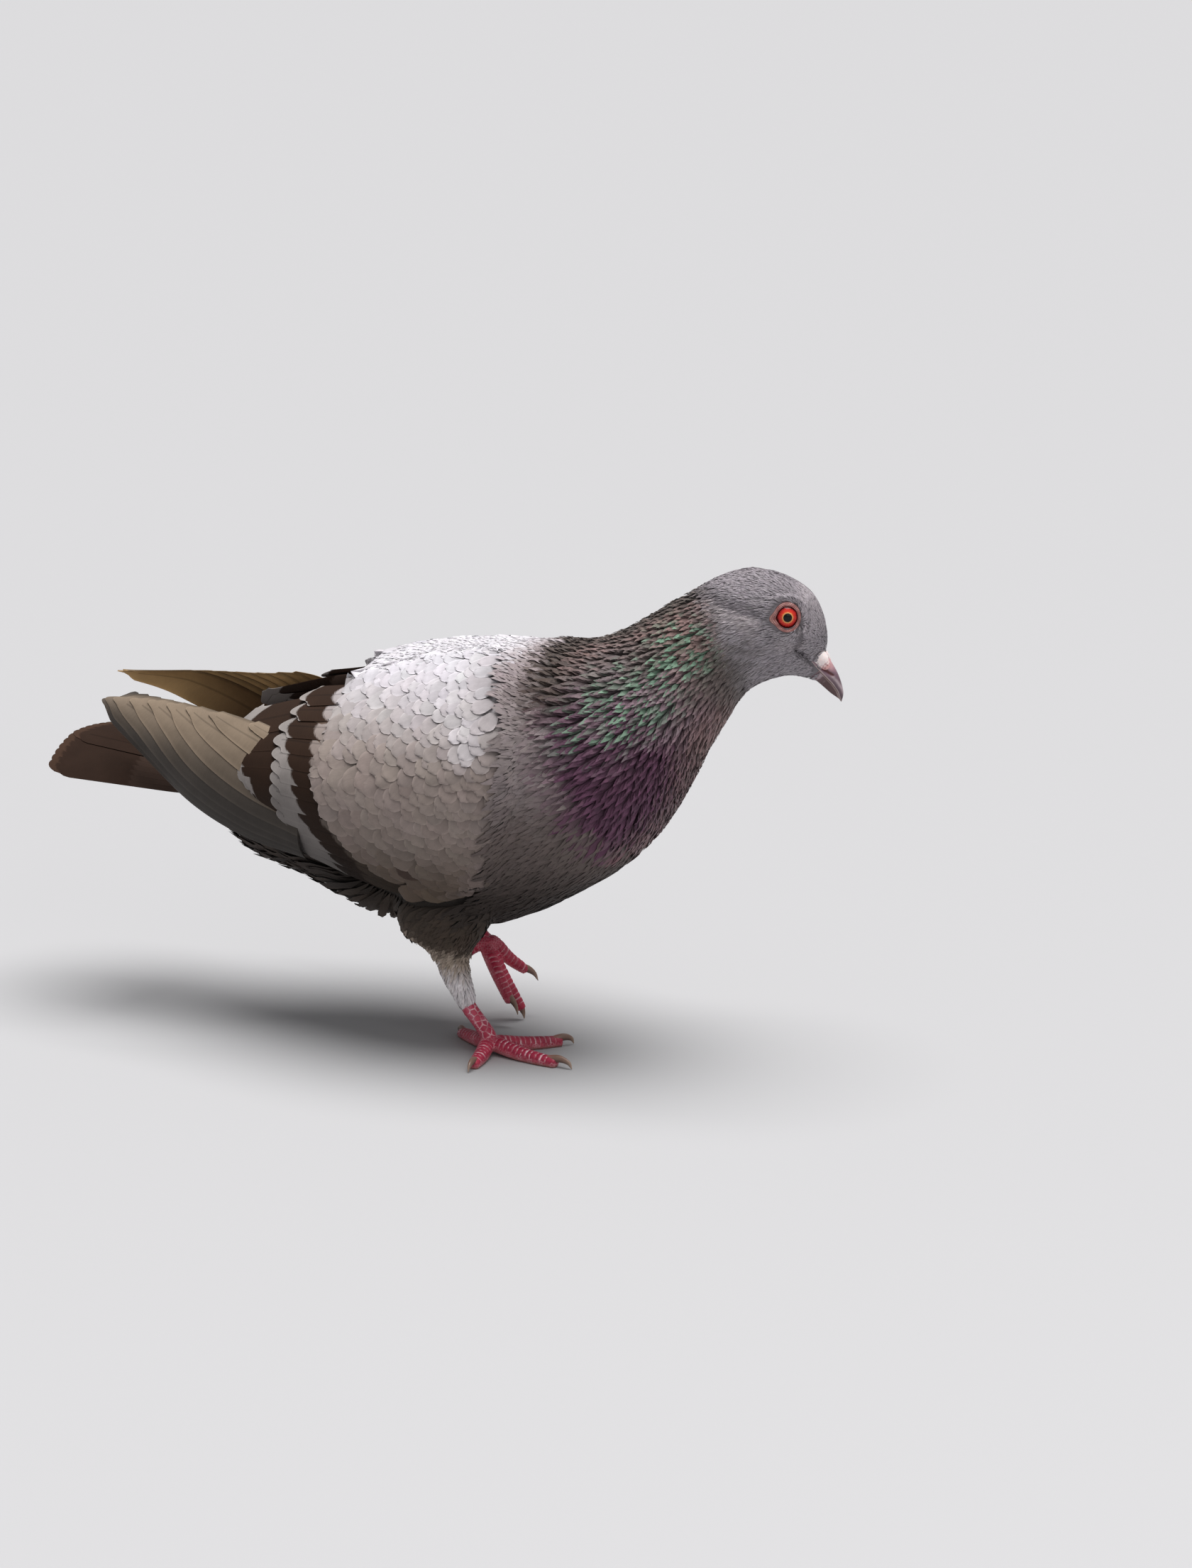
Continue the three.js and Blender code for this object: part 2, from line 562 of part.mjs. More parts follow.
const paint = (color, roughness) => new THREE.MeshStandardMaterial({ color, roughness, metalness: 0 });
const PAINTS = {
  head: paint(0x77757c, 0.8),
  neck: paint(0x5d5358, 0.6),
  trunk: paint(0x6f6863, 0.85),
  coverts: paint(0xb3aeac, 0.8),
  flight: paint(0xa08c76, 0.75),
  tail: paint(0x4c4440, 0.8),
  thigh: paint(0x8a8378, 0.9),
  leg: paint(0xb3334d, 0.55),
  claw: paint(0x6b5a4c, 0.4),
  bill: paint(0x5f5159, 0.4),
  cere: paint(0xe9dcda, 0.7),
  eye: paint(0xd8502a, 0.1),
  lid: paint(0xc48a80, 0.6),
};

const bird = new THREE.Group();
function piece(name, solid, material) {
  const mesh = new THREE.Mesh(geometryOf(solid), material);
  mesh.name = name;
  bird.add(mesh);
}

piece("head", head, PAINTS.head);
piece("neck", neck, PAINTS.neck);
piece("trunk", trunkWhole, PAINTS.trunk);
piece("tail", tail, PAINTS.tail);
piece("bill_upper", billUpper, PAINTS.bill);
piece("bill_lower", billLower, PAINTS.bill);
piece("cere", cere, PAINTS.cere);
for (const side of ["right", "left"]) {
  piece(`eye_${side}`, eyes[side], PAINTS.eye);
  piece(`eyelid_${side}`, lids[side], PAINTS.lid);
  piece(`wing_${side}_coverts`, wings[side].shield, PAINTS.coverts);
  piece(`wing_${side}_secondaries`, wings[side].secondaries, PAINTS.flight);
  piece(`wing_${side}_primaries`, wings[side].primaries, PAINTS.flight);
  piece(`thigh_${side}`, legs[side].thigh, PAINTS.thigh);
  piece(`shank_${side}`, legs[side].shank, PAINTS.leg);
  piece(`foot_${side}`, legs[side].foot, PAINTS.leg);
  for (const [name, claw] of Object.entries(legs[side].claws)) {
    piece(`claw_${side}_${name}`, claw, PAINTS.claw);
  }
}

const box = new THREE.Box3().setFromObject(bird);
const origin = box.getCenter(at(0, 0, 0)).setZ(box.min.z);
for (const mesh of bird.children) mesh.geometry.translate(-origin.x, -origin.y, -origin.z);

export default bird;
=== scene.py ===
# %% [markdown]
# A feral pigeon, life size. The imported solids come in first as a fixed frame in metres. The bird is made
# in four layers: a smooth skin over the solids of flesh, small feathers that grow from it, the long
# feathers of wings and tail, and the bare parts, which are eyes, bill, cere, legs and claws.

# %% Load the frame
import math

import bmesh
import bpy
import numpy as np
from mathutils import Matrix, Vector
from mathutils.bvhtree import BVHTree
from mathutils.kdtree import KDTree


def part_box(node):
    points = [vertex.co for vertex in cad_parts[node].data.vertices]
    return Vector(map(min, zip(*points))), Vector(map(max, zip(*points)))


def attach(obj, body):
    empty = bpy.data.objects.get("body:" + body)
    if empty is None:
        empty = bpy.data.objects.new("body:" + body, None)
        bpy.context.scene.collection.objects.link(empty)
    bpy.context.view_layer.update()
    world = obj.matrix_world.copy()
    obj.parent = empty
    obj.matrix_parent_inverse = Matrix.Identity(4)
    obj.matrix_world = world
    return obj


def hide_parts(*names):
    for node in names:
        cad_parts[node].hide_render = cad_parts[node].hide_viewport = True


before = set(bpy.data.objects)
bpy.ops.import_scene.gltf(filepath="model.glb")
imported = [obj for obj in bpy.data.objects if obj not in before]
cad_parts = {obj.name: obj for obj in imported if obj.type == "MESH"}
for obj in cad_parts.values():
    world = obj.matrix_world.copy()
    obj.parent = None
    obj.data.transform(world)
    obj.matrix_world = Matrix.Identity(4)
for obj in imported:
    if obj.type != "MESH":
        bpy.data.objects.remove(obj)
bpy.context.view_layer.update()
MM = 0.001

# %% [markdown]
# The camera stands well back with a long lens, so the bird keeps its true proportions. It aims at a point
# beside the breast, and its distance and two angles say the rest.

# %% Camera
AIM = Vector((0.1019, -0.0702, 0.1212))
DISTANCE = 1.54
AZIMUTH, ELEVATION = math.radians(25), math.radians(13.5)
level = math.cos(ELEVATION)
back = Vector((math.sin(AZIMUTH) * level, -math.cos(AZIMUTH) * level, math.sin(ELEVATION)))
camera = bpy.data.objects.new("camera", bpy.data.cameras.new("camera"))
bpy.context.scene.collection.objects.link(camera)
camera.data.lens = 100
camera.data.sensor_width = 36
camera.location = AIM + back * DISTANCE
camera.rotation_mode = "QUATERNION"
camera.rotation_quaternion = (-back).to_track_quat("-Z", "Y")
bpy.context.scene.camera = camera
bpy.context.scene.view_settings.view_transform = "Standard"
print("camera", [round(v, 4) for v in camera.location])

# %% [markdown]
# Soft daylight from above gives the bright back and the dim belly. It is a sun of a wide angle, so the
# floor stays even however far it runs. A large weak panel beside the camera fills the flank, and the
# room's own grey lights the rest. The floor is plain and pale.


# %% Light and floor
def lamp(name, kind, place, energy, colour):
    """A light that shines from its place towards the bird."""
    light = bpy.data.lights.new(name, kind)
    light.energy = energy
    light.color = colour
    thing = bpy.data.objects.new(name, light)
    bpy.context.scene.collection.objects.link(thing)
    thing.location = place
    thing.rotation_mode = "QUATERNION"
    thing.rotation_quaternion = (Vector((0, 0, 0.1)) - Vector(place)).to_track_quat("-Z", "Y")
    return light


lamp("sky", "SUN", (0.10, 0.12, 1.4), 4.9, (1.0, 0.99, 0.98)).angle = math.radians(50)
lamp("front_fill", "AREA", (1.1, -1.0, 0.75), 3.2, (1.0, 0.98, 0.96)).size = 0.9
world = bpy.data.worlds.new("room")
world.use_nodes = True
world.node_tree.nodes["Background"].inputs["Color"].default_value = (0.80, 0.80, 0.82, 1)
world.node_tree.nodes["Background"].inputs["Strength"].default_value = 0.34
bpy.context.scene.world = world

floor_mesh = bpy.data.meshes.new("floor")
floor_mesh.from_pydata([(-14, -14, 0), (14, -14, 0), (14, 14, 0), (-14, 14, 0)], [], [(0, 1, 2, 3)])
floor = bpy.data.objects.new("floor", floor_mesh)
bpy.context.scene.collection.objects.link(floor)
floor_paint = bpy.data.materials.new("floor_paint")
floor_paint.use_nodes = True
floor_shader = floor_paint.node_tree.nodes["Principled BSDF"]
floor_shader.inputs["Base Color"].default_value = (0.39, 0.39, 0.40, 1)
floor_shader.inputs["Roughness"].default_value = 0.9
floor_mesh.materials.append(floor_paint)

# %% [markdown]
# Most shapes below are worked out on a straight bird, in millimetres: x forwards, y to its left, z up,
# with x = 0 above the standing foot. The neck then turns a little to the left. The eye, whose place is
# known in both, ties the straight bird to the frame.

# %% Straight bird to frame and back
NECK_FROM, NECK_TO = 20.0, 80.0
NECK_TURN = math.radians(17)
NECK_RADIUS = (NECK_TO - NECK_FROM) / NECK_TURN
EYE = np.array([105.2, -8.4, 171.2])


def turned(p):
    """Straight points to the bird with its neck turned, still in the bird's own millimetres."""
    p = np.asarray(p, float)
    x, y = p[..., 0], p[..., 1]
    angle = np.clip(x - NECK_FROM, 0, NECK_TO - NECK_FROM) / NECK_RADIUS
    rest = np.where(x <= NECK_FROM, x - NECK_FROM, np.maximum(x - NECK_TO, 0))
    reach = NECK_RADIUS - y
    out = p.copy()
    out[..., 0] = NECK_FROM + reach * np.sin(angle) + rest * np.cos(angle)
    out[..., 1] = NECK_RADIUS - reach * np.cos(angle) + rest * np.sin(angle)
    return out


def straightened(p):
    """The other way round."""
    p = np.asarray(p, float)
    x, y = p[..., 0] - NECK_FROM, NECK_RADIUS - p[..., 1]
    angle = np.clip(np.arctan2(x, y), 0, NECK_TURN)
    out = p.copy()
    out[..., 0] = (
        NECK_FROM + angle * NECK_RADIUS
        + np.where(angle >= NECK_TURN, x * np.cos(angle) - y * np.sin(angle), 0)
        + np.where(angle <= 0, x, 0)
    )
    out[..., 1] = NECK_RADIUS - (x * np.sin(angle) + y * np.cos(angle))
    return out


eye_low, eye_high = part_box("eye_right")
ORIGIN = np.array((eye_low + eye_high) / 2) / MM - turned(EYE)
ORIGIN[1:] = 0


def to_frame(p):
    return (turned(p) + ORIGIN) * MM


def to_bird(p):
    return straightened(np.asarray(p, float) / MM - ORIGIN)


check = np.array([[110.0, -4, 160], [50, 20, 120], [-60, -30, 90]])
print("bird origin", ORIGIN.round(2), "round trip", np.abs(to_bird(to_frame(check)) - check).max().round(6))

# %% [markdown]
# The skin is one closed surface: copies of the solids of flesh are melted together by a voxel remesh,
# which also closes the thin cuts between them, then smoothed until the facets are gone, and drawn in by
# the depth of the coat. The coat is deepest on the breast and belly and almost nothing at the bill, eyes
# and legs.


# %% Small tools for meshes
def new_object(name, mesh):
    thing = bpy.data.objects.new(name, mesh)
    bpy.context.scene.collection.objects.link(thing)
    return thing


def values_of(items, field, kind=float):
    """One field of all items of a mesh, in rows of three."""
    out = np.empty(len(items) * 3, kind)
    items.foreach_get(field, out)
    return out.reshape(-1, 3)


def points_of(mesh):
    return values_of(mesh.vertices, "co")


def normals_of(mesh):
    return values_of(mesh.vertex_normals, "vector")


def put_points(mesh, points):
    mesh.vertices.foreach_set("co", np.asarray(points, np.float32).ravel())
    mesh.update()


def store(mesh, title, values):
    """A number or a vector for every point, as a named attribute."""
    values = np.asarray(values, np.float32)
    kind, part = ("FLOAT", "value") if values.ndim == 1 else ("FLOAT_VECTOR", "vector")
    kept = mesh.attributes.get(title) or mesh.attributes.new(title, kind, "POINT")
    kept.data.foreach_set(part, values.ravel())


def smooth_shaded(mesh):
    mesh.polygons.foreach_set("use_smooth", np.ones(len(mesh.polygons), bool))


def made_plain(thing, name):
    """An object's evaluated mesh in place of its modifiers and first mesh."""
    first = thing.data
    done = bpy.data.meshes.new_from_object(thing.evaluated_get(bpy.context.evaluated_depsgraph_get()))
    thing.modifiers.clear()
    thing.data = done
    bpy.data.meshes.remove(first)
    done.name = name
    smooth_shaded(done)
    done.calc_loop_triangles()
    return done


def melted(name, shapes, voxel, smoothing):
    """Overlapping closed shapes, gathered in a bmesh, melted into a single smooth mesh."""
    mesh = bpy.data.meshes.new(name)
    shapes.to_mesh(mesh)
    shapes.free()
    thing = new_object(name, mesh)
    remesh = thing.modifiers.new("melt", "REMESH")
    remesh.mode = "VOXEL"
    remesh.voxel_size = voxel
    smooth = thing.modifiers.new("smooth", "SMOOTH")
    smooth.factor = 0.5
    smooth.iterations = smoothing
    made_plain(thing, name)
    return thing


def ease(low, high, v):
    """0 below low, 1 above high, smooth between."""
    t = np.clip((np.asarray(v, float) - low) / (high - low), 0, 1)
    return t * t * (3 - 2 * t)


def sown(p, gap, order):
    """Indices of points (mm) taken in an order, so that none is nearer than its gap to one taken before."""
    gap = np.broadcast_to(gap, len(p))
    cells = np.floor(p / gap.max()).astype(int).tolist()
    spots, limits = p.tolist(), (gap**2).tolist()
    around = [(i, j, k) for i in (-1, 0, 1) for j in (-1, 0, 1) for k in (-1, 0, 1)]
    kept, grid = [], {}
    for n in order:
        cx, cy, cz = cells[n]
        x, y, z = spots[n]
        for i, j, k in around:
            near = grid.get((cx + i, cy + j, cz + k))
            if near and any((x - u) ** 2 + (y - v) ** 2 + (z - w) ** 2 < limits[n] for u, v, w in near):
                break
        else:
            grid.setdefault((cx, cy, cz), []).append((x, y, z))
            kept.append(n)
    return np.array(kept)


def nearest_of(p, chosen, count):
    """For each point, its nearest few of the chosen points: their indices and distances."""
    tree = KDTree(len(chosen))
    for n in chosen:
        tree.insert(Vector(p[n]), int(n))
    tree.balance()
    found = [tree.find_n(Vector(q), count) for q in p]
    indices = np.array([[f[1] for f in row] for row in found])
    return indices, np.array([[f[2] for f in row] for row in found])


# %% The skin
SIDES = ("right", "left")
FLESH = ["head", "neck", "trunk", *(f"thigh_{s}" for s in SIDES), *(f"wing_{s}_coverts" for s in SIDES)]
SKIN_VOXEL, SKIN_SMOOTHING = 1.25 * MM, 10
solids = bmesh.new()
for node in FLESH:
    solids.from_mesh(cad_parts[node].data)
bmesh.ops.remove_doubles(solids, verts=solids.verts, dist=1e-6)
skin = melted("skin", solids, SKIN_VOXEL, SKIN_SMOOTHING)
plumage_form = points_of(skin.data)
bird_points = to_bird(plumage_form)


def coat_depth(p):
    """How deep the coat lies over the skin, in millimetres, at straight points."""
    x, z = p[:, 0], p[:, 2]
    depth = 2.6 - 1.7 * ease(66, 92, x)
    depth -= 0.5 * ease(104, 114, x)
    depth = np.minimum(depth, 0.5 + 2.1 * ease(14, 44, z))
    eye = np.hypot(x - EYE[0], z - EYE[2])
    return np.maximum(depth * ease(4.5, 8.5, eye + 9 * (x < 80)), 0.1)


depth = coat_depth(bird_points)
put_points(skin.data, plumage_form - normals_of(skin.data) * (depth * MM)[:, None])
print("skin", len(depth), "points,", round(depth.min(), 2), "to", round(depth.max(), 2), "mm deep")

# %% [markdown]
# Between the folded wings the solids leave a deep groove, which real plumage fills. The skin is cut into
# slices across the back, a line is pulled tight over each from side to side, and the lines together make
# a roof that the skin is raised to. The shank of the standing leg is then made a little slimmer.


# %% The groove between the wings
def upper_hull(y, z):
    """Corners of the line that would lie over points, pulled tight from side to side."""
    line = []
    for q in sorted(zip(y, z)):
        while len(line) > 1:
            (a, b), (c, d) = line[-2:]
            if (c - a) * (q[1] - b) - (d - b) * (q[0] - a) < 0:
                break
            line.pop()
        line.append(q)
    return np.array(line)


inner = to_bird(points_of(skin.data))
SLICE, ROOF_HALF = 3.0, 20
slices, sides = np.arange(-79, 32, SLICE), np.linspace(-ROOF_HALF, ROOF_HALF, 2 * ROOF_HALF + 1)
bridge = np.zeros((len(slices), len(sides)))
for k, x in enumerate(slices):
    near = (np.abs(inner[:, 0] - x) < 2.2) & (inner[:, 2] > 105) & (np.abs(inner[:, 1]) < 24)
    hull = upper_hull(inner[near, 1], inner[near, 2])
    bridge[k] = np.interp(sides, hull[:, 0], hull[:, 1])
for _ in range(3):
    bridge[1:-1] = (bridge[:-2] + 2 * bridge[1:-1] + bridge[2:]) / 4
x_at = np.clip((inner[:, 0] - slices[0]) / SLICE, 0, len(slices) - 1.001)
y_at = np.clip(inner[:, 1] + ROOF_HALF, 0, 2 * ROOF_HALF - 0.001)
i, j = x_at.astype(int), y_at.astype(int)
fx, fy = x_at - i, y_at - j
roof = (bridge[i, j] * (1 - fy) + bridge[i, j + 1] * fy) * (1 - fx)
roof += (bridge[i + 1, j] * (1 - fy) + bridge[i + 1, j + 1] * fy) * fx
roof -= 0.9 + 14 * ease(-58, -74, inner[:, 0]) + 14 * ease(14, 30, inner[:, 0])
raised = np.maximum(roof - inner[:, 2], 0) * ease(19, 16, np.abs(inner[:, 1]))
raised *= (inner[:, 2] > 112) * (inner[:, 0] < 30)
inner[:, 2] += raised
SHANK_UP_TO, SLIMMER = 46, 0.16
shank = (inner[:, 1] < 0) & (inner[:, 2] < SHANK_UP_TO)
slim = 1 - SLIMMER * ease(SHANK_UP_TO, 34, inner[:, 2]) * shank
inner[:, 0] += (slim - 1) * (inner[:, 0] + 8.2 + (inner[:, 2] - 16.6) * 0.33)
inner[:, 1] += (slim - 1) * (inner[:, 1] + 23)
put_points(skin.data, to_frame(inner))
print("the groove between the wings is filled by up to", raised.max().round(1), "mm")


def sensed_skin():
    """The skin's normals, also kept on it as outward, and a tree that finds places on it."""
    normals = normals_of(skin.data)
    store(skin.data, "outward", normals)
    return normals, BVHTree.FromObject(skin, bpy.context.evaluated_depsgraph_get())


skin_normals, skin_tree = sensed_skin()
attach(skin, "root")
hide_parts(*FLESH)


# %% [markdown]
# Every feather lies from head to tail, but the way it points changes over the bird. A few arrows on the
# side view say which way the plumage runs there: x, z and an angle, 0 for straight back and 90 for
# straight down. A feather in between takes the mean of the arrows near it and is then laid flat on the
# skin.

# %% The lie of the plumage
ARROWS = np.array([
    (116, 170, -70), (110, 180, -42), (100, 185, -8), (92, 187, 4), (81, 184, 24), (70, 178, 33),
    (60, 171, 34), (50, 165, 27), (42, 161, 18), (27, 157, 5), (0, 154, 3), (-30, 149, 11),
    (-55, 138, 20), (-80, 124, 29), (-105, 107, 35), (116, 150, 8), (106, 148, 8), (97, 145, 28),
    (89, 139, 48), (84, 130, 60), (77, 119, 60), (70, 105, 61), (63, 92, 58), (54, 80, 50),
    (41, 69, 38), (22, 57, 26), (0, 47, 14), (-20, 52, 4), (-57, 50, -14), (-84, 60, -24),
    (-110, 68, -30), (-130, 78, -38), (104, 160, 12), (96, 164, 20), (88, 160, 38), (75, 150, 44),
    (60, 135, 40), (45, 120, 34), (30, 110, 26), (10, 100, 18), (5, 70, 18), (-16, 42, 72),
    (-14, 34, 88), (-10, 24, 104), (-36, 52, 60), (-36, 44, 100), (-60, 100, 0), (-90, 92, -8),
], float)


def lie_at(p, arrows=ARROWS, reach=11.0):
    """The plumage's direction at straight points, as the mean of the arrows within a reach (mm)."""
    gap = (p[:, None, 0] - arrows[None, :, 0]) ** 2 + (p[:, None, 2] - arrows[None, :, 1]) ** 2
    weight = np.exp(-gap / (2 * reach**2)) + 1e-9
    weight /= weight.sum(1, keepdims=True)
    angle = np.radians(arrows[:, 2])
    rearward, down = (weight * np.cos(angle)).sum(1), (weight * np.sin(angle)).sum(1)
    return np.stack([-rearward, np.zeros(len(p)), -down], 1)


def unit(v):
    return v / np.maximum(np.linalg.norm(v, axis=-1, keepdims=True), 1e-12)


print("the plumage's lie comes from", len(ARROWS), "arrows")

# %% [markdown]
# The folded wing is a sheet wrapped round the flank. Its outer face is known at a few stations, each an
# arc from the top edge to the low edge. A place on it is two shares: how far back, and how far down the
# arc. The left wing is the mirror image, folded a little further back and carried a little higher behind,
# and its long blade has stations of its own.

# %% The wing sheets
SHIELD = np.array([
    ((24, -22, 147), (33, -43, 118), (20, -33, 86)), ((11, -17, 154.4), (15, -74, 123), (8, -38, 69)),
    ((-8, -12, 155.2), (-6, -84, 117), (-9, -35, 61.5)),
    ((-30, -11, 150.2), (-29, -83, 110), (-32, -33, 60.5)),
    ((-50, -10, 143.6), (-50, -77, 106), (-52, -33, 65.5)),
    ((-64, -9.5, 137.8), (-64, -71, 104), (-66, -33, 70.5)),
    ((-78, -9, 133), (-80, -63, 103), (-80, -31, 75)),
    ((-91, -9.5, 127.5), (-94, -55, 102), (-92, -30, 80.5)),
    ((-103, -12, 121.5), (-107, -45, 103), (-103, -29, 88)),
    ((-112, -17, 114.5), (-113, -29, 109), (-111, -25, 103)),
])
BLADES = {
    "right": np.array([
        ((-67, -30, 112), (-69, -56, 84), (-73, -33, 69)),
        ((-92, -24, 119.5), (-94, -50, 92), (-98, -32, 74.5)),
        ((-118, -18, 121.5), (-121, -42, 102), (-124, -28, 85)),
        ((-144, -14, 123), (-148, -29, 111), (-152, -21, 102.5)),
        ((-168, -12, 122), (-171.5, -18, 119), (-173, -15, 115)),
    ]),
    "left": np.array([
        ((-67, -30, 112), (-69, -56, 88), (-73, -33, 72)),
        ((-94, -22, 129.5), (-96, -48, 100), (-100, -32, 82)),
        ((-120, -17, 129), (-124, -36, 114), (-127, -25, 102)),
        ((-148, -14, 127.8), (-153, -23, 122.5), (-157, -18, 116.5)),
        ((-177, -12, 125.8), (-182, -15, 124.2), (-184, -14, 122.0)),
    ]),
}
LEFT_BACK, LEFT_LIFT, LEFT_DROP = 11.0, math.radians(1.5), 0.8
print("a wing has", len(SHIELD), "stations on its shield and", len(BLADES["right"]), "on its blade")


# %% Places on the sheets

def along_line(points, t):
    """A smooth line through points (Catmull-Rom), at shares t of its length in steps."""
    points = np.asarray(points, float)
    spot = np.clip(t, 0, 1) * (len(points) - 1)
    i = np.minimum(spot.astype(int), len(points) - 2)
    f = (spot - i)[:, None]
    p1, p2 = points[i], points[i + 1]
    p0 = np.where((i > 0)[:, None], points[i - 1], 2 * p1 - p2)
    p3 = np.where((i < len(points) - 2)[:, None], points[np.minimum(i + 2, len(points) - 1)], 2 * p2 - p1)
    way, bend, turn = p2 - p0, 2 * p0 - 5 * p1 + 4 * p2 - p3, 3 * p1 - p0 - 3 * p2 + p3
    return 0.5 * (2 * p1 + way * f + bend * f**2 + turn * f**3)


def sheet_point(stations, back_share, down_share):
    """Points of a right wing's sheet."""
    top, out, low = (along_line(stations[:, k], back_share) for k in range(3))
    v = np.asarray(down_share)[:, None]
    return top * (1 - v) ** 2 + 2 * out * v * (1 - v) + low * v**2


def sheet_normal(stations, s, v):
    step = 0.004
    ds = sheet_point(stations, s + step, v) - sheet_point(stations, s - step, v)
    dv = sheet_point(stations, s, v + step) - sheet_point(stations, s, v - step)
    return unit(np.cross(ds, dv))


def on_side(p, side, direction=False, blade=False):
    """Right wing points, or directions, moved to the side they belong to."""
    if side == "right":
        return p
    p = p * np.array([1, -1, 1])
    if blade:
        return p
    c, s = math.cos(LEFT_LIFT), math.sin(LEFT_LIFT)
    p = np.stack([p[..., 0] * c + p[..., 2] * s, p[..., 1], p[..., 2] * c - p[..., 0] * s], -1)
    return p if direction else p + np.array([-LEFT_BACK, 0, -LEFT_DROP])


def wing_view(p):
    """Straight points as they would lie on the right wing, seen from its side: x and z."""
    left = p[:, 1] > 0
    x, z = p[:, 0] + np.where(left, LEFT_BACK, 0), p[:, 2] + np.where(left, LEFT_DROP, 0)
    turn = np.where(left, LEFT_LIFT, 0)
    return x * np.cos(turn) - z * np.sin(turn), x * np.sin(turn) + z * np.cos(turn)


half_way = np.array([0.5])
print("middle of the shield", sheet_point(SHIELD, half_way, half_way).round(1))

# %% Where the shield covers the skin
WING_TOP = np.array([
    (-112, 114), (-91, 127), (-64, 137.5), (-30, 150), (-8, 155), (11, 154), (24, 146),
])
WING_LOW = np.array([
    (-91, 80), (-66, 70), (-52, 65), (-32, 60), (-9, 61), (3, 66), (11, 74), (16, 90), (21, 118),
    (24, 146),
])
WING_FRONT = np.array([(2, 62), (11, 74), (15, 90), (15.5, 112), (15.5, 124), (11, 136), (5, 148)])
wing_low_smooth = along_line(WING_LOW, np.linspace(0, 1, 120))


def wing_cover(p, ahead=0.0):
    """1 where the shield covers the skin, 0 outside; ahead moves its front line forwards (mm)."""
    x, z = wing_view(p)
    top = np.interp(x, WING_TOP[:, 0], WING_TOP[:, 1])
    low = np.interp(x, wing_low_smooth[:, 0], wing_low_smooth[:, 1])
    side = ease(8, 15, np.abs(p[:, 1]))
    front = np.interp(z, WING_FRONT[:, 1], WING_FRONT[:, 0]) + ahead
    inside = ease(-1, 2.5, top - z + 3) * ease(-1.0, 2.0, z - low + 0.5 * ahead)
    return inside * ease(-1.0, 1.5, front - x) * side


print("the shields hide", int((wing_cover(bird_points) > 0.5).sum()), "points of skin")

# %% [markdown]
# The markings are one function of place, used for skin and feathers alike: a blue-grey head, a neck with
# a green gloss above and a purple one below, a grey-brown belly, a brown mantle that pales to a white
# saddle, a whitish shield, grey-brown thighs and a white garter. Breast, belly, thighs and the shield's
# low edge are also painted darker, as painted shade under the body. Each patch has a soft edge from a
# few lengths.


# %% Colours of the plumage
def shade(red, green, blue):
    """A colour named by its display values, made linear."""
    c = np.array([red, green, blue]) / 255
    return np.where(c <= 0.04045, c / 12.92, ((c + 0.055) / 1.055) ** 2.4)


def shades(*colours):
    return [shade(*colour) for colour in colours]


HEAD_GREY, CROWN_GREY, EAR_PALE = shades((146, 140, 145), (136, 129, 135), (168, 160, 163))
COLLAR_DARK, NAPE_BROWN, GREEN_GLOSS = shades((84, 79, 76), (58, 51, 46), (104, 132, 112))
MAUVE, PURPLE, FRONT_BROWN = shades((124, 104, 112), (84, 50, 72), (118, 92, 90))
# Breast, belly and thighs are darker than the bird's own colours, as painted shade under the body.
BREAST_GREY, BELLY_SHADED_BROWN, THIGH_GREY = shades((92, 82, 79), (36, 29, 25), (62, 52, 44))
MANTLE_BROWN, SADDLE_WHITE, RUMP_GREY = shades((64, 53, 48), (196, 193, 198), (150, 146, 146))
UNDERTAIL_BROWN, GARTER_WHITE = shades((44, 36, 31), (224, 218, 220))
# The shield's warm and low colours are partly its own, partly painted shade towards its low edge.
SHIELD_WHITE, SHIELD_WARM, SHIELD_LOW_SHADED = shades((198, 195, 201), (138, 126, 120), (78, 66, 56))
FOREHEAD_PALE, CREASE_SHADE, COLLAR_EDGE = shades((166, 158, 163), (74, 68, 72), (122, 108, 110))
GARTER_EDGE, FLANK_GREY, SHOULDER_GREY = shades((176, 160, 146), (126, 116, 116), (150, 138, 140))
BEND_WHITE, SPOT_BROWN = shades((206, 203, 208), (54, 40, 33))


print("head grey in linear light", HEAD_GREY.round(3))


# %% Painting by place
def mottle(p, size, seed):
    """Smooth seeded noise from 0 to 1, with lumps about a size (mm) across."""
    pick = np.random.default_rng(seed)
    total = np.zeros(len(p))
    for _ in range(9):
        way = unit(pick.normal(0, 1, 3)) * 2 * np.pi / (size * pick.uniform(1.4, 2.8))
        total += np.sin(p @ way + pick.uniform(0, 2 * np.pi))
    return np.clip(0.5 + total / 5.0, 0, 1)


def layer(colour, over, amount):
    return colour + (over - colour) * np.clip(amount, 0, 1)[:, None]


def painted(p, base, coats):
    """A base colour for every point, under coats given as pairs of a colour and its amounts."""
    colour = np.tile(base, (len(p), 1))
    for over, amount in coats:
        colour = layer(colour, over, amount)
    return colour


def spot(p, x, z, reach_x, reach_z, slant=0.0):
    """1 in the middle of a slanted oval on the side view, 0 outside it."""
    a = math.radians(slant)
    u = (p[:, 0] - x) * math.cos(a) + (p[:, 2] - z) * math.sin(a)
    v = -(p[:, 0] - x) * math.sin(a) + (p[:, 2] - z) * math.cos(a)
    return 1 - ease(0.35, 1.0, np.hypot(u / reach_x, v / reach_z))


def line_gap(p, line):
    """Distance on the side view from points to a broken line."""
    best = np.full(p.shape[:-1], 1e9)
    q = p[..., [0, 2]]
    for a, b in zip(line[:-1], line[1:]):
        way = b - a
        t = np.clip(((q - a) @ way) / (way @ way), 0, 1)
        best = np.minimum(best, np.linalg.norm(q - a - t[..., None] * way, axis=-1))
    return best


print("mottle at the eye", mottle(EYE[None], 2.6, 5).round(2))

# %% Head, neck and legs
BREAST_EDGE = np.array([
    (24, 150), (28.4, 138), (31.2, 122.6), (39.7, 102.2), (51.1, 87.5), (62.5, 82), (75, 84),
])


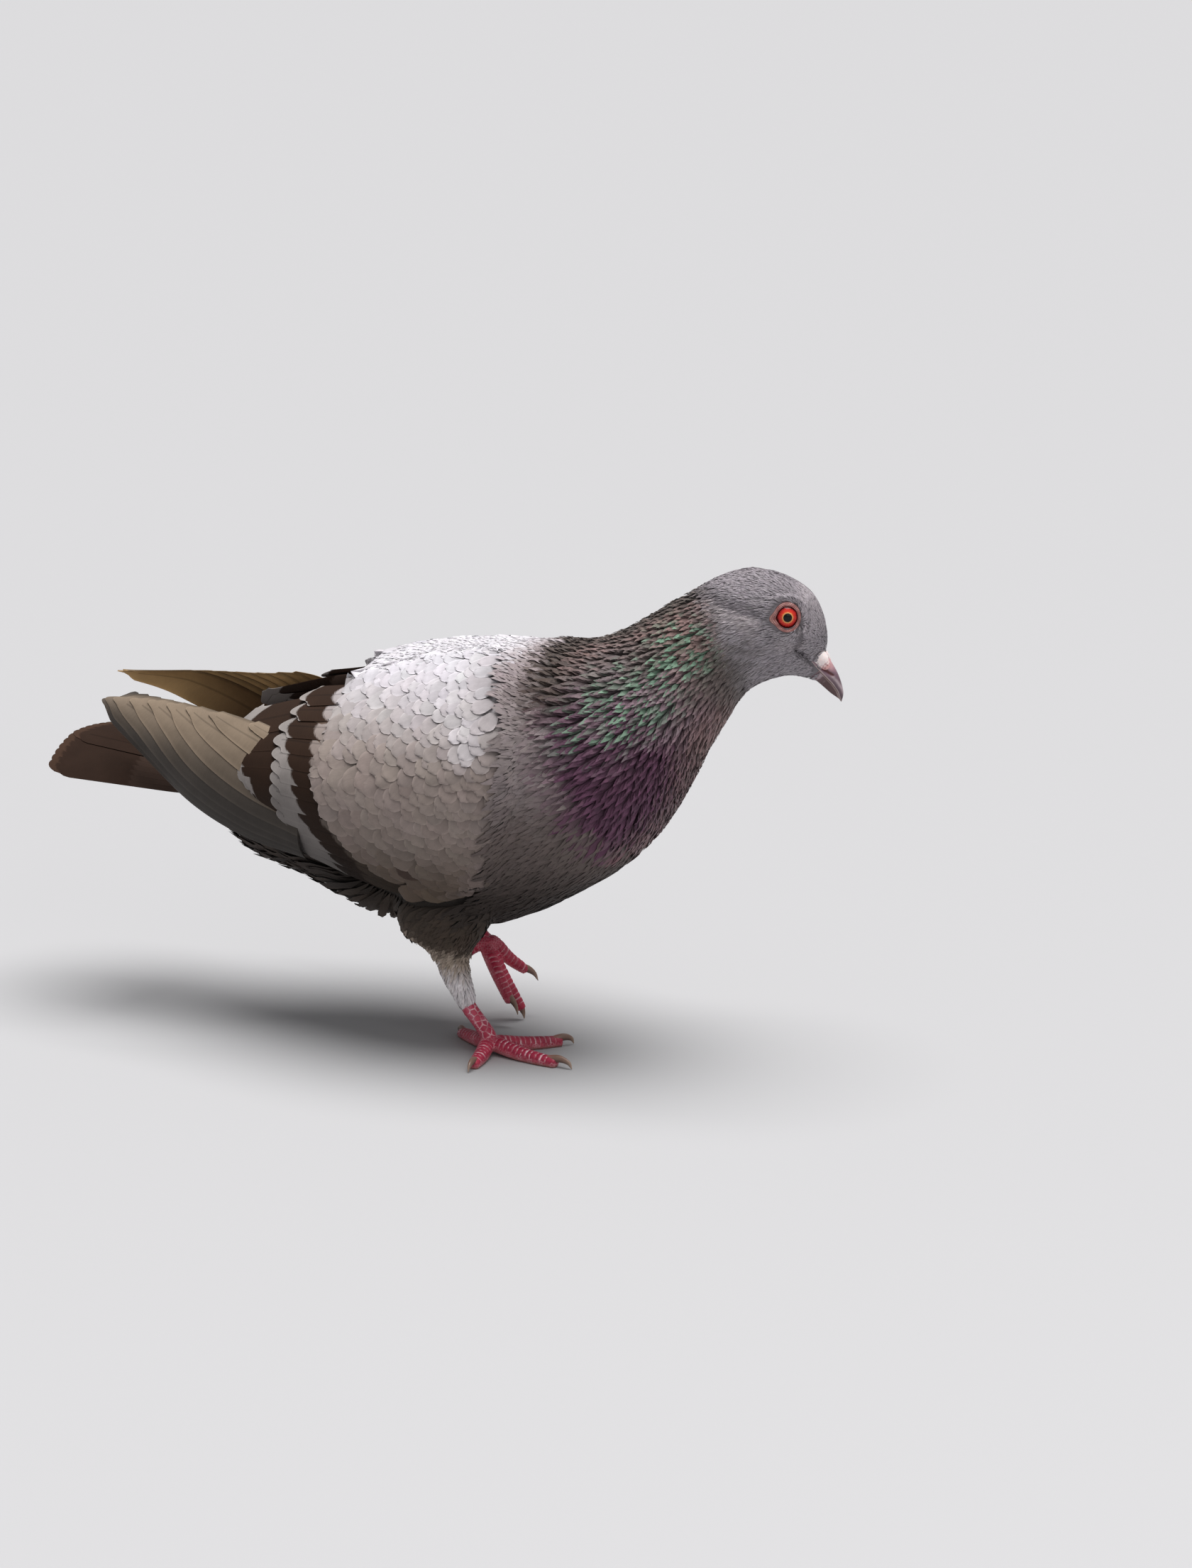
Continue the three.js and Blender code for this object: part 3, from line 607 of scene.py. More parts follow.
def breast_line(p):
    """How far forward the breast reaches, where the neck's gloss begins, at straight points' heights."""
    return np.interp(p[:, 2], BREAST_EDGE[::-1, 1], BREAST_EDGE[::-1, 0])


CREASE = np.array([(110.6, 168.5), (111.8, 165), (112.2, 162), (110.2, 159.2), (109.2, 158)])


def face_colour(p):
    """Head: a pale ear patch under a painted shade line, and a painted shade crease from eye to mouth."""
    x, z = p[:, 0], p[:, 2]
    over_ear = z - 172.5 + 0.35 * (x - 92)
    behind_eye = ease(99, 96, x)
    crease = line_gap(p, CREASE)
    streaks = ease(0.45, 0.8, mottle(p * np.array([0.5, 0.5, 1.2]), 2.4, 9))
    to_collar = 0.85 * ease(101, 86, x) * ease(168, 152, z) + 0.7 * ease(90, 80, x) * ease(182, 170, z)
    return painted(p, HEAD_GREY, [
        (CROWN_GREY, 0.8 * ease(176, 182, z)),
        (EAR_PALE, behind_eye * ease(0.6, -0.3, over_ear) * ease(-8, -0.5, over_ear) * ease(80, 85, x)),
        # A dark line of painted shade above the ear's ridge.
        (CROWN_GREY * 0.62, behind_eye * ease(0.0, 0.9, over_ear) * ease(7, 1.5, over_ear)),
        (FOREHEAD_PALE, 0.9 * ease(108, 113, x) * ease(160, 168, z)),
        (EAR_PALE, 0.6 * spot(p, 111, 160.5, 4, 2.6)),
        (COLLAR_DARK, to_collar),
        (COLLAR_DARK, 0.45 * streaks * ease(106, 94, x) * ease(172, 160, z)),
        # Painted shade along the crease from the eye to the mouth.
        (CREASE_SHADE, 0.7 * ease(1.7, 0.3, crease) * ease(157, 160, z)),
        (EAR_PALE, 0.5 * ease(1.2, 3.0, crease) * spot(p, 107, 161.5, 5, 3.0, -8)),
    ])


def collar_colour(p):
    """The glossy neck: green above, purple below, brown at the nape and towards the mantle."""
    x, y, z = p[:, 0], np.abs(p[:, 1]), p[:, 2]
    green = 1.1 * spot(p, 72, 160, 19, 14, 38) + 0.9 * spot(p, 52, 138, 32, 17, 32)
    last_row = ease(7, 0, x - breast_line(p))
    return painted(p, FRONT_BROWN, [
        (MAUVE, 0.95 * spot(p, 52, 134, 38, 26, 30)),
        (PURPLE, 1.6 * spot(p, 40, 113, 34, 44, -35)),
        (COLLAR_DARK, 0.75 * spot(p, 86, 150, 16, 16) + 0.4 * ease(112, 96, z) * ease(60, 70, x)),
        (COLLAR_DARK, 0.7 * spot(p, 52, 152, 26, 12, 28)),
        (GREEN_GLOSS, green * (0.05 + 0.95 * ease(0.45, 0.8, mottle(p, 2.6, 5)))),
        (MAUVE, 0.55 * spot(p, 58, 138, 30, 24, 30) * ease(0.55, 0.85, mottle(p, 5.0, 6))),
        (NAPE_BROWN, 0.9 * ease(12, 5, y) * ease(150, 158, z)),
        (MANTLE_BROWN, ease(44, 30, x) * ease(128, 144, z)),
        (COLLAR_EDGE, 0.6 * last_row * ease(98, 112, z) * ease(142, 130, z)),
    ])


def leg_colour(p):
    """The thigh, and the white garter at the front of the standing leg."""
    x, z = p[:, 0], p[:, 2]
    front = ease(-21, -16, x + 0.45 * (z - 22)) * (p[:, 1] < 0)
    down = z + 0.4 * (x + 14)
    # The thigh's grey is partly its own, partly painted shade under the body.
    return painted(p, THIGH_GREY, [
        (UNDERTAIL_BROWN * 1.5, 0.6 * ease(-21, -27, x + 0.4 * (z - 40))),
        (GARTER_EDGE, 0.8 * ease(50, 38, down) * front),
        (GARTER_WHITE, ease(39, 30, down) * front),
    ])


print("colour of the crown", face_colour(np.array([[95.0, 0, 183]])).round(3))


# %% The whole coat
def markings(p):
    """The colour of the plumage at straight points, apart from the wings."""
    x, y, z = p[:, 0], np.abs(p[:, 1]), p[:, 2]
    # Lighter high on the breast, darkest on the belly: partly own colour, partly painted shade.
    return painted(p, BREAST_GREY, [
        (FLANK_GREY, ease(92, 118, z) * ease(48, 30, x)),
        (BELLY_SHADED_BROWN, 0.92 * ease(96, 62, z) + 0.3 * ease(-10, -50, x)),
        (MANTLE_BROWN, ease(133, 145, z + 0.3 * (x - 20)) * ease(52, 26, x)),
        (SHOULDER_GREY, 0.8 * ease(34, 12, x - 0.8 * (z - 143)) * ease(120, 134, z)),
        (SADDLE_WHITE, ease(118, 130, z) * ease(13, -9, x - 1.4 * np.maximum(z - 143, 0))),
        (RUMP_GREY, 0.8 * ease(-55, -80, x) * ease(100, 112, z)),
        (UNDERTAIL_BROWN, ease(-52, -84, x) * ease(100, 84, z)),
        (collar_colour(p), ease(-2.5, 2.5, x - breast_line(p)) * ease(74, 88, z)),
        (face_colour(p), ease(76, 90, x + 0.35 * (z - 160))),
        (leg_colour(p), ease(62, 54, z) * (np.abs(y - 22) < 17) * ease(10, -2, x) * ease(-62, -54, x)),
    ])


def shield_colour(p):
    """The whitish shield of the wing, warmer and darker towards its low edge, partly as painted shade."""
    z = wing_view(p)[1]
    return painted(p, SHIELD_WHITE, [(SHIELD_WARM, ease(151, 116, z)), (SHIELD_LOW_SHADED, ease(108, 68, z))])


def patterned(p):
    """Skin and coat colour anywhere."""
    return layer(markings(p), shield_colour(p), wing_cover(p))


def paint_points(mesh, colours):
    """Every point's colour, as the attribute tint."""
    attribute = mesh.attributes.get("tint") or mesh.attributes.new("tint", "FLOAT_COLOR", "POINT")
    rgba = np.concatenate([colours, np.ones((len(colours), 1))], 1)
    attribute.data.foreach_set("color", rgba.astype(np.float32).ravel())


skin_at = to_bird(points_of(skin.data))
# The skin shows only between feathers, so it takes the markings darkened as painted shade, less on the
# wing.
SKIN_GAP_SHADE, MORE_ON_WING = 0.55, 0.30
paint_points(skin.data, patterned(skin_at) * (SKIN_GAP_SHADE + MORE_ON_WING * wing_cover(skin_at))[:, None])
print("painted", len(skin_at), "points of skin")

# %% [markdown]
# The bare parts come before the feathers, since the feathers have to keep clear of them. Shader and
# geometry trees are both built from a handful of short helpers.


# %% Small tools for node trees
def feed(tree, node, **links):
    """Fill a node's inputs, by name or number, from sockets or plain values."""
    for key, value in links.items():
        socket = node.inputs[int(key[1:])] if key[1:].isdigit() else node.inputs[key.replace("_", " ")]
        if isinstance(value, bpy.types.NodeSocket):
            tree.links.new(value, socket)
        else:
            socket.default_value = value
    return node


def new_node(tree, kind, settings=None, **links):
    node = tree.nodes.new(kind)
    for key, value in (settings or {}).items():
        setattr(node, key, value)
    return feed(tree, node, **links)


def sum_of(tree, operation, a, b=0.0, c=0.0):
    """One Math node's result."""
    return new_node(tree, "ShaderNodeMath", {"operation": operation}, i0=a, i1=b, i2=c).outputs[0]


def times(tree, a, b):
    return sum_of(tree, "MULTIPLY", a, b)


def times_plus(tree, a, b, c):
    return sum_of(tree, "MULTIPLY_ADD", a, b, c)


def vector_of(tree, operation, a, b=(0, 0, 0)):
    return new_node(tree, "ShaderNodeVectorMath", {"operation": operation}, i0=a, i1=b).outputs[0]


def scaled(tree, vector, factor):
    settings = {"operation": "SCALE"}
    return new_node(tree, "ShaderNodeVectorMath", settings, i0=vector, Scale=factor).outputs[0]


def combined(tree, **parts):
    """A vector from its X, Y and Z."""
    return new_node(tree, "ShaderNodeCombineXYZ", **parts).outputs[0]


def parted(tree, vector):
    """The three numbers of a vector."""
    return new_node(tree, "ShaderNodeSeparateXYZ", i0=vector).outputs


def centred(tree, value):
    """A value about 0 instead of 0.5."""
    return sum_of(tree, "SUBTRACT", value, 0.5)


def stored(tree, name, kind="FLOAT"):
    """A mesh attribute read by a geometry tree."""
    settings = {"data_type": kind}
    return new_node(tree, "GeometryNodeInputNamedAttribute", settings, Name=name).outputs["Attribute"]


def fact_of(tree, name, output="Fac"):
    """A mesh attribute read by a material."""
    return new_node(tree, "ShaderNodeAttribute", {"attribute_name": name}).outputs[output]


def own_place(tree):
    """The place on the object, in metres."""
    return new_node(tree, "ShaderNodeTexCoord").outputs["Object"]


def noise_of(tree, vector, scale, detail=4.0, roughness=0.6):
    looks = {"Scale": scale, "Detail": detail, "Roughness": roughness}
    return new_node(tree, "ShaderNodeTexNoise", Vector=vector, **looks).outputs["Fac"]


def ranged(tree, value, low, high, to_low=0.0, to_high=1.0):
    """A value carried from one range to another and held at its ends."""
    limits = {"i1": low, "i2": high, "i3": to_low, "i4": to_high}
    return new_node(tree, "ShaderNodeMapRange", Value=value, **limits).outputs[0]


def bump_of(tree, height, strength, distance):
    return new_node(tree, "ShaderNodeBump", Strength=strength, Distance=distance, Height=height).outputs[0]


def new_finish(name):
    """A new material, its node tree and its shader."""
    paint = bpy.data.materials.new(name)
    paint.use_nodes = True
    return paint, paint.node_tree, paint.node_tree.nodes["Principled BSDF"]


def bare_finish(name, rough, grain, mottling, bump, coat=0.0, flesh=0.0):
    """Skin or horn: the painted tint, mottled by noise, with a fine grain as bump."""
    paint, tree, shader = new_finish(name)
    place = own_place(tree)
    lumps, fine = noise_of(tree, place, grain * 0.35), noise_of(tree, place, grain)
    light = times_plus(tree, centred(tree, lumps), 2 * mottling, 1.0)
    feed(
        tree, shader, Base_Color=scaled(tree, fact_of(tree, "tint", "Color"), light),
        Roughness=times_plus(tree, lumps, 0.25, rough - 0.12), Normal=bump_of(tree, fine, bump, 0.0003),
        Coat_Weight=coat, Coat_Roughness=0.25, Subsurface_Weight=flesh,
        Subsurface_Radius=(0.0012, 0.0005, 0.0004), Subsurface_Scale=1.0,
    )
    return paint


# Each row: name, roughness, grain, mottling and bump.
LID_FINISH = bare_finish("eyelid_skin", 0.55, 2600, 0.25, 0.5, flesh=0.1)
BILL_FINISH = bare_finish("bill_horn", 0.42, 1500, 0.22, 0.3, coat=0.15)
CERE_FINISH = bare_finish("cere_skin", 0.62, 3200, 0.06, 0.5, flesh=0.2)
LEG_SKIN_FINISH = bare_finish("leg_skin", 0.46, 1800, 0.22, 0.35, coat=0.1, flesh=0.1)
CLAW_FINISH = bare_finish("claw_horn", 0.40, 1200, 0.22, 0.2, coat=0.2)
print("bare finishes", [m.name for m in bpy.data.materials if m.name.endswith(("skin", "horn"))])

# %% Closed surfaces from rings
BARE_PARTS = []


def seated(thing, material, slot, *replaced):
    """The last steps for every bare part."""
    mesh = thing.data
    shell = bmesh.new()
    shell.from_mesh(mesh)
    bmesh.ops.recalc_face_normals(shell, faces=shell.faces)
    shell.to_mesh(mesh)
    shell.free()
    smooth_shaded(mesh)
    mesh.materials.clear()
    mesh.materials.append(material)
    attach(thing, "root")
    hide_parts(*replaced)
    BARE_PARTS.append(thing)
    mesh.calc_loop_triangles()
    print(thing.name, len(mesh.loop_triangles), "triangles")
    return thing


def ringed(rings, joined=False):
    """Faces over rows of rings: fans close the two ends, or the last ring meets the first."""
    rows, around = rings.shape[:2]
    index = np.arange(rows * around).reshape(rows, around)
    after = np.roll(index, -1, 1)
    a, b, c, d = (index, np.roll(index, -1, 0), np.roll(after, -1, 0), after)
    if not joined:
        a, b, c, d = a[:-1], b[:-1], c[:-1], d[:-1]
    faces = np.stack([a, b, c, d], -1).reshape(-1, 4).tolist()
    places = rings.reshape(-1, 3)
    if not joined:
        places = np.concatenate([places, rings[[0, -1]].mean(1)])
        first, last = rows * around, rows * around + 1
        faces += [(first, i, j) for i, j in zip(index[0], after[0])]
        faces += [(last, j, i) for i, j in zip(index[-1], after[-1])]
    return places, faces


def surface_of(name, parts):
    """One object from several (straight places, faces, tints)."""
    places, faces, tints = [], [], []
    start = 0
    for p, f, colour in parts:
        places.append(p)
        faces += [tuple(int(i) + start for i in face) for face in f]
        tints.append(colour)
        start += len(p)
    mesh = bpy.data.meshes.new(name)
    mesh.from_pydata(to_frame(np.concatenate(places)).tolist(), [], faces)
    paint_points(mesh, np.concatenate(tints))
    return new_object(name, mesh)


# %% [markdown]
# The eye is a ball with a slight bulge over the iris. The iris is painted by distance from the eye's
# axis: a round pupil, a thin yellow ring, then orange to red with rays, and a dark rim, painted shade,
# where it meets the lids.

# %% Eyes
EYE_RADIUS = 5.7
EYE_AXIS = unit(np.array([math.sin(math.radians(12)), -math.cos(math.radians(12)), 0.02]))
EYE_FORE = unit(np.cross([0, 0, 1], EYE_AXIS))
EYE_HIGH = np.cross(EYE_AXIS, EYE_FORE)


PUPIL_BLACK = shade(4, 4, 6)
# The near-black at the rim of the iris is painted shade under the lids.
IRIS = [
    (0.0, PUPIL_BLACK), (1.50, PUPIL_BLACK), (1.62, shade(168, 120, 60)), (1.80, shade(222, 170, 110)),
    (1.98, shade(214, 100, 58)), (2.3, shade(202, 56, 40)), (3.1, shade(178, 34, 30)),
    (3.5, shade(116, 16, 18)), (3.8, shade(40, 8, 10)),
]
IRIS_SPAN = 5.0


def mirror_of(side):
    """Factors that carry right side points to a side."""
    return np.array([1, 1 if side == "right" else -1, 1])


def eye_finish():
    """Rings of colour by distance from the eye's axis, drawn out into rays."""
    paint, tree, shader = new_finish("eye_gloss")
    x, y, reach = parted(tree, fact_of(tree, "ray", "Vector"))
    spoke = combined(tree, X=times(tree, x, 7.0), Y=times(tree, y, 7.0), Z=times(tree, reach, 0.5))
    streak = noise_of(tree, spoke, 1.0, 4.0, 0.7)
    wander = times(tree, centred(tree, streak), ranged(tree, reach, 1.5, 2.3))
    at = times_plus(tree, wander, 1.5, reach)
    ramp = new_node(tree, "ShaderNodeValToRGB", i0=sum_of(tree, "DIVIDE", at, IRIS_SPAN))
    points = ramp.color_ramp.elements
    while len(points) < len(IRIS):
        points.new(0.5)
    for point, (reach_to, colour) in zip(points, IRIS):
        point.position = reach_to / IRIS_SPAN
        point.color = (*colour, 1)
    feed(
        tree, shader, Base_Color=ramp.outputs["Color"], Roughness=0.5, Specular_IOR_Level=0.08,
        Coat_Weight=0.35, Coat_Roughness=0.05,
    )
    return paint


EYE_FINISH = eye_finish()


def eye_ball(side):
    off = np.radians(np.concatenate([np.linspace(0.8, 45, 46), np.linspace(48, 178, 22)]))[:, None, None]
    turn = np.linspace(0, 2 * np.pi, 96, endpoint=False)[None, :, None]
    outward = np.cos(off) * EYE_AXIS + np.sin(off) * (np.cos(turn) * EYE_FORE + np.sin(turn) * EYE_HIGH)
    bulge = 0.22 * np.exp(-((off / 0.62) ** 4))
    rings = (EYE + outward * (EYE_RADIUS - 0.12 + bulge)) * mirror_of(side)
    places, faces = ringed(rings)
    reach = np.where(off < 1.4, EYE_RADIUS * np.sin(off), 6.0) + 0 * turn
    ray = np.concatenate([np.cos(turn) + 0 * off, np.sin(turn) + 0 * off, reach], 2).reshape(-1, 3)
    ray = np.concatenate([ray, [[0, 0, 0], [0, 0, 6]]])
    colour = np.tile(shade(190, 60, 30), (len(places), 1))
    thing = surface_of(f"eye_ball_{side}", [(places, faces, colour)])
    store(thing.data, "ray", ray)
    return seated(thing, EYE_FINISH, "eye", f"eye_{side}")


for side in SIDES:
    eye_ball(side)

# %% [markdown]
# The lids are a ring of bare skin, a little taller than wide, that is drawn out to a corner behind the
# eye. Concentric folds broken into beads run round it. Its outer edge is found by looking inwards onto
# the skin.


# %% The skin round the eyes and at the corner of the mouth
def skin_side(x, z, side):
    """How far out the skin lies, from its own middle plane, at straight x and z."""
    way = 1 if side == "left" else -1
    far, middle = to_frame(np.array([[x, way * 60.0, z], [x, 0, z]]))
    hit = skin_tree.ray_cast(Vector(far), Vector(middle - far).normalized())[0]
    return abs(to_bird(np.array([tuple(hit)]))[0, 1]) if hit else 0.0


def to_right_side(p):
    """Factors that mirror points of the left side to the right, and leave the others."""
    return np.stack([np.ones(len(p)), -np.sign(p[:, 1] + 1e-9), np.ones(len(p))], 1)


def eye_frame(p):
    """Straight points seen along the eye's axis: ahead, height along the axis, and up, for either eye."""
    q = p * to_right_side(p) - EYE
    return q @ EYE_FORE, q @ EYE_AXIS, q @ EYE_HIGH


BROW_TURN = np.linspace(0, 2 * np.pi, 73)
BROW_REACHES = (5.8, 6.6, 7.6)
BROW = {}
for side in SIDES:
    BROW[side] = np.full(len(BROW_TURN), -9.0)
    for reach in BROW_REACHES:
        around = [(math.cos(a), math.sin(a)) for a in BROW_TURN]
        brow = np.array([(EYE[0] + reach * c, 0, EYE[2] + reach * s) for c, s in around])
        brow[:, 1] = [-skin_side(x, z, side) for x, _, z in brow]
        BROW[side] = np.maximum(BROW[side], eye_frame(brow)[1])
    print(side, "brow", BROW[side][::9].round(1))


def brow_height(side, turn):
    """Height of the skin along the eye's axis just outside the lids, at angles from straight ahead."""
    return np.interp(np.mod(turn, 2 * np.pi), BROW_TURN, BROW[side])


def lid_seat(base, gap):
    """How far the lids and the skin round them rise above a low brow, at distances (mm) from the eye."""
    return np.maximum(3.35 - base, 0) * 0.75 * ease(9.5, 5.0, gap)


MOUTH = np.array([
    (109.5, 158), (112, 155.8), (114.6, 152.9), (117.2, 150), (119.7, 147.3), (121.9, 144.8),
    (123.7, 142.0), (124.95, 138.0),
])
UPPER_HALF = np.array([5.6, 5.1, 4.3, 3.6, 3.0, 2.4, 1.7, 0.35])
was = points_of(skin.data)
p = to_bird(was)
ahead, height, high = eye_frame(p)
gap, turn = np.hypot(ahead, high), np.arctan2(high, ahead)
base = np.where(p[:, 1] < 0, brow_height("right", turn), brow_height("left", turn))
wanted = np.maximum(height, base) + lid_seat(base, gap)
lifted = (wanted - height) * ease(4.9, 5.6, gap) * ease(9.6, 8.2, gap) * (height > -4.5)
lifted *= ease(7.4, 6.8, gap) + (1 - ease(7.4, 6.8, gap)) * (height > base - 1.5)
p = p + np.maximum(lifted, 0)[:, None] * EYE_AXIS * to_right_side(p)
out = np.abs(p[:, 1])
near_mouth = ease(1.7, 0.7, line_gap(p, MOUTH[:5])) * (p[:, 0] > 107)
mouth_half = np.interp(p[:, 0], MOUTH[:, 0], UPPER_HALF) - 0.1
out = out + (np.minimum(out, mouth_half) - out) * near_mouth
p[:, 1] = np.sign(p[:, 1]) * out
put_points(skin.data, to_frame(p))
skin_normals, skin_tree = sensed_skin()
print("skin moved by up to", round(np.linalg.norm(points_of(skin.data) - was, axis=1).max() / MM, 2), "mm")


# %% Eyelids
LID_RED, LID_PALE, LID_INNER, LID_CORNER = shades(
    (122, 66, 62), (222, 188, 182), (112, 40, 36), (150, 112, 104),
)
LID_FOLDS, LID_BEADS, EVENED_OVER = 3, 50, 12


def eye_lid(side):
    turn = np.linspace(0, 2 * np.pi, 180, endpoint=False)
    rear = np.exp(-((np.abs(turn - np.pi - 0.1) / 0.33) ** 2))
    inner = 3.72 + 0.20 * np.sin(turn) ** 2 + 0.30 * rear
    outer = 5.05 + 0.4 * np.sin(turn) ** 2 + 1.6 * rear
    base = brow_height(side, turn)
    edge = base + lid_seat(base, outer) + 0.35
    wide = np.concatenate([edge[-EVENED_OVER:], edge, edge[:EVENED_OVER]])
    edge = np.array([wide[k : k + 2 * EVENED_OVER + 1].mean() for k in range(len(edge))])
    q = np.linspace(0, 1, 26)[:, None]
    r = inner + (outer - inner) * q
    ball = np.sqrt(np.maximum(EYE_RADIUS**2 - r**2, 0.5))
    start = np.sqrt(EYE_RADIUS**2 - inner**2) - 0.02
    fold = 0.5 - 0.5 * np.cos(2 * np.pi * q * LID_FOLDS)
    bead = 0.5 + 0.5 * np.cos(turn * LID_BEADS + 2.2 * np.floor(q * LID_FOLDS) + 0.8 * np.sin(turn * 7))
    bead = bead * (0.6 + 0.4 * np.sin(turn * 9 + 3 * q))
    swell = np.sin(np.pi * np.clip(q, 0.001, 0.999)) ** 0.6
    out = start + (edge - start) * ease(0.0, 1.0, q) + swell * (0.40 + 0.22 * fold * (0.4 + 0.6 * bead))
    out = np.maximum(out, np.where(q < 0.5, ball + 0.04, 0))
    under = out - 0.9 * ease(0, 0.3, q) - 0.3 - 0.3 * np.sin(np.pi * q)
    radius, height = np.concatenate([r, r[-2:0:-1]]), np.concatenate([out, under[-2:0:-1]])
    flat = np.cos(turn)[:, None] * EYE_FORE + np.sin(turn)[:, None] * EYE_HIGH
    rings = (EYE + height[..., None] * EYE_AXIS + radius[..., None] * flat) * mirror_of(side)
    places, faces = ringed(rings, joined=True)
    tint = painted(r.ravel(), LID_RED, [(over, (amount + 0 * r).ravel()) for over, amount in (
        (LID_PALE, 0.9 * fold**1.5 * (0.1 + 0.9 * bead)),
        (LID_INNER, 0.95 * ease(0.2, 0.02, q)),
        (LID_CORNER, 0.7 * rear * ease(0.3, 0.8, q)),
    )]).reshape(*r.shape, 3)
    tint = np.concatenate([tint, tint[-2:0:-1]]).reshape(-1, 3)
    thing = surface_of(f"eye_lid_{side}", [(places, faces, tint)])
    return seated(thing, LID_FINISH, "eyelid_skin", f"eyelid_{side}")


for side in SIDES:
    eye_lid(side)

# %% [markdown]
# Each half of the bill is a loft between two lines on the side view, with its widths given at the same
# steps. The upper half has a hooked tip and sharp lower edges, and a slit of a nostril under the cere;
# the lower half is a shallow trough.

# %% Lines of the bill
CULMEN = np.array([
    (113.5, 160), (116.5, 157.5), (119.9, 154.3), (121.8, 151.6), (123.6, 148.4), (125.0, 144.8),
    (125.8, 141), (125.15, 137.8),
])
GONYS = np.array([
    (108, 152), (110.6, 149.6), (113.2, 147.0), (116.2, 145.1), (118.6, 143.1), (120.8, 141.2),
    (122.8, 139.8), (124.6, 138.7),
])
LOWER_HALF = np.array([5.3, 4.9, 4.1, 3.3, 2.6, 2.0, 1.3, 0.3])
UPPER_RIM = [
    (0, 1), (0.42, 0.95), (0.78, 0.72), (0.97, 0.36), (1.0, 0.1), (0.92, -0.02), (0.6, 0.1), (0, 0.14),
]
LOWER_RIM = [(0, 0.9), (0.6, 0.92), (0.92, 1.0), (1.0, 0.84), (0.93, 0.5), (0.62, 0.13), (0, 0)]


def half_bill(top, low, halves, rim, rows=64, columns=25):
    """Rings of straight points between two lines on the side view."""
    share = np.linspace(0, 1, rows)
    top, low = along_line(top, share), along_line(low, share)
    half = along_line(halves[:, None], share)[:, 0]
    rim = along_line(np.array(rim), np.linspace(0, 1, columns))
    rim = np.concatenate([rim, rim[-2:0:-1] * np.array([-1, 1])])
    across, height = rim[:, 0], rim[:, 1]
    plane = low[:, None] + (top - low)[:, None] * height[None, :, None]
    side = half[:, None] * across[None, :]
    return np.stack([plane[..., 0], side, plane[..., 1]], -1)


def down_the_bill(p):
    """Millimetres from the bill's base towards its tip."""
    return (p[:, 0] - 112) * 0.6 - (p[:, 2] - 157) * 0.8


# %% Upper bill
NOSTRIL = np.array([(117.0, 151.4), (119.6, 149.9), (122.0, 148.2)])
HORN, HORN_DARK, HORN_TIP = shades((126, 100, 112), (88, 66, 76), (60, 44, 52))
HORN_BASE, RIDGE_PALE, FLESH_PINK = shades((70, 48, 50), (176, 160, 164), (196, 150, 152))
LIP_PALE, SLIT_RED = shades((196, 176, 172), (84, 18, 22))
upper = half_bill(CULMEN, MOUTH, UPPER_HALF, UPPER_RIM)
upper_places, upper_faces = ringed(upper)
side_out = np.abs(upper_places[:, 1])
to_mouth = line_gap(upper_places, MOUTH)
to_slit = line_gap(upper_places, NOSTRIL)
on_flank = ease(0.6, 1.4, side_out)
dent = 0.22 * np.exp(-((to_slit / 0.5) ** 2)) * on_flank
rim = 0.05 * np.exp(-(((to_slit - 1.2) / 0.7) ** 2)) * on_flank * (upper_places[:, 2] > 147)
upper_places[:, 1] *= 1 - dent
upper_places[:, 1] *= 1 + rim
along_bill = down_the_bill(upper_places)
colour = painted(upper_places, HORN, [
    (HORN_DARK, ease(10, 17, along_bill)),
    (RIDGE_PALE, 0.8 * np.exp(-(((to_mouth - 1.9) / 0.5) ** 2)) * ease(11, 14, along_bill)),
    (FLESH_PINK, 0.9 * ease(13.5, 8, along_bill) * ease(1.9, 2.9, to_mouth)),
    (LIP_PALE, 0.75 * ease(0.55, 0.2, to_mouth) * ease(1, 4, along_bill)),
    # The nostril's slit is dark red, partly its flesh and partly painted shade in the opening.
    (SLIT_RED, np.exp(-((to_slit / 0.5) ** 4)) * on_flank),
    (HORN_BASE, 0.85 * ease(5.5, 2.5, along_bill) * ease(0.5, 1.2, to_mouth)),
    (HORN_TIP, 0.6 * ease(20, 23.5, along_bill)),
])
bill_upper = surface_of("bill_upper_horn", [(upper_places, upper_faces, colour)])
seated(bill_upper, BILL_FINISH, "bill_horn", "bill_upper")

# %% Lower bill
LOWER_HORN, LOWER_BASE, FLAKE_PALE, LOWER_LIP = shades(
    (78, 52, 52), (118, 96, 104), (196, 180, 186), (190, 166, 160),
)
GAPE = np.array([0.12, 0.16])
lower = half_bill(MOUTH - GAPE, GONYS, LOWER_HALF, LOWER_RIM)
lower_places, lower_faces = ringed(lower)
to_mouth = line_gap(lower_places, MOUTH)
along_bill = down_the_bill(lower_places)
flakes = ease(0.66, 0.8, mottle(lower_places, 1.1, 17))
colour = painted(lower_places, LOWER_HORN, [
    (LOWER_BASE, 0.8 * ease(14, 8, along_bill)),
    (FLAKE_PALE, 0.5 * flakes * ease(15, 10, along_bill)),
    (LOWER_LIP, 0.55 * ease(0.7, 0.3, to_mouth)),
])
bill_lower = surface_of("bill_lower_horn", [(lower_places, lower_faces, colour)])
seated(bill_lower, BILL_FINISH, "bill_horn", "bill_lower")

# %% [markdown]
# The cere is two soft swellings over the nostrils, white as if powdered, and pink and grainy at their
# foot. Two ovals melt into one lump by a voxel remesh, which fills the valley between them as flesh
# would.

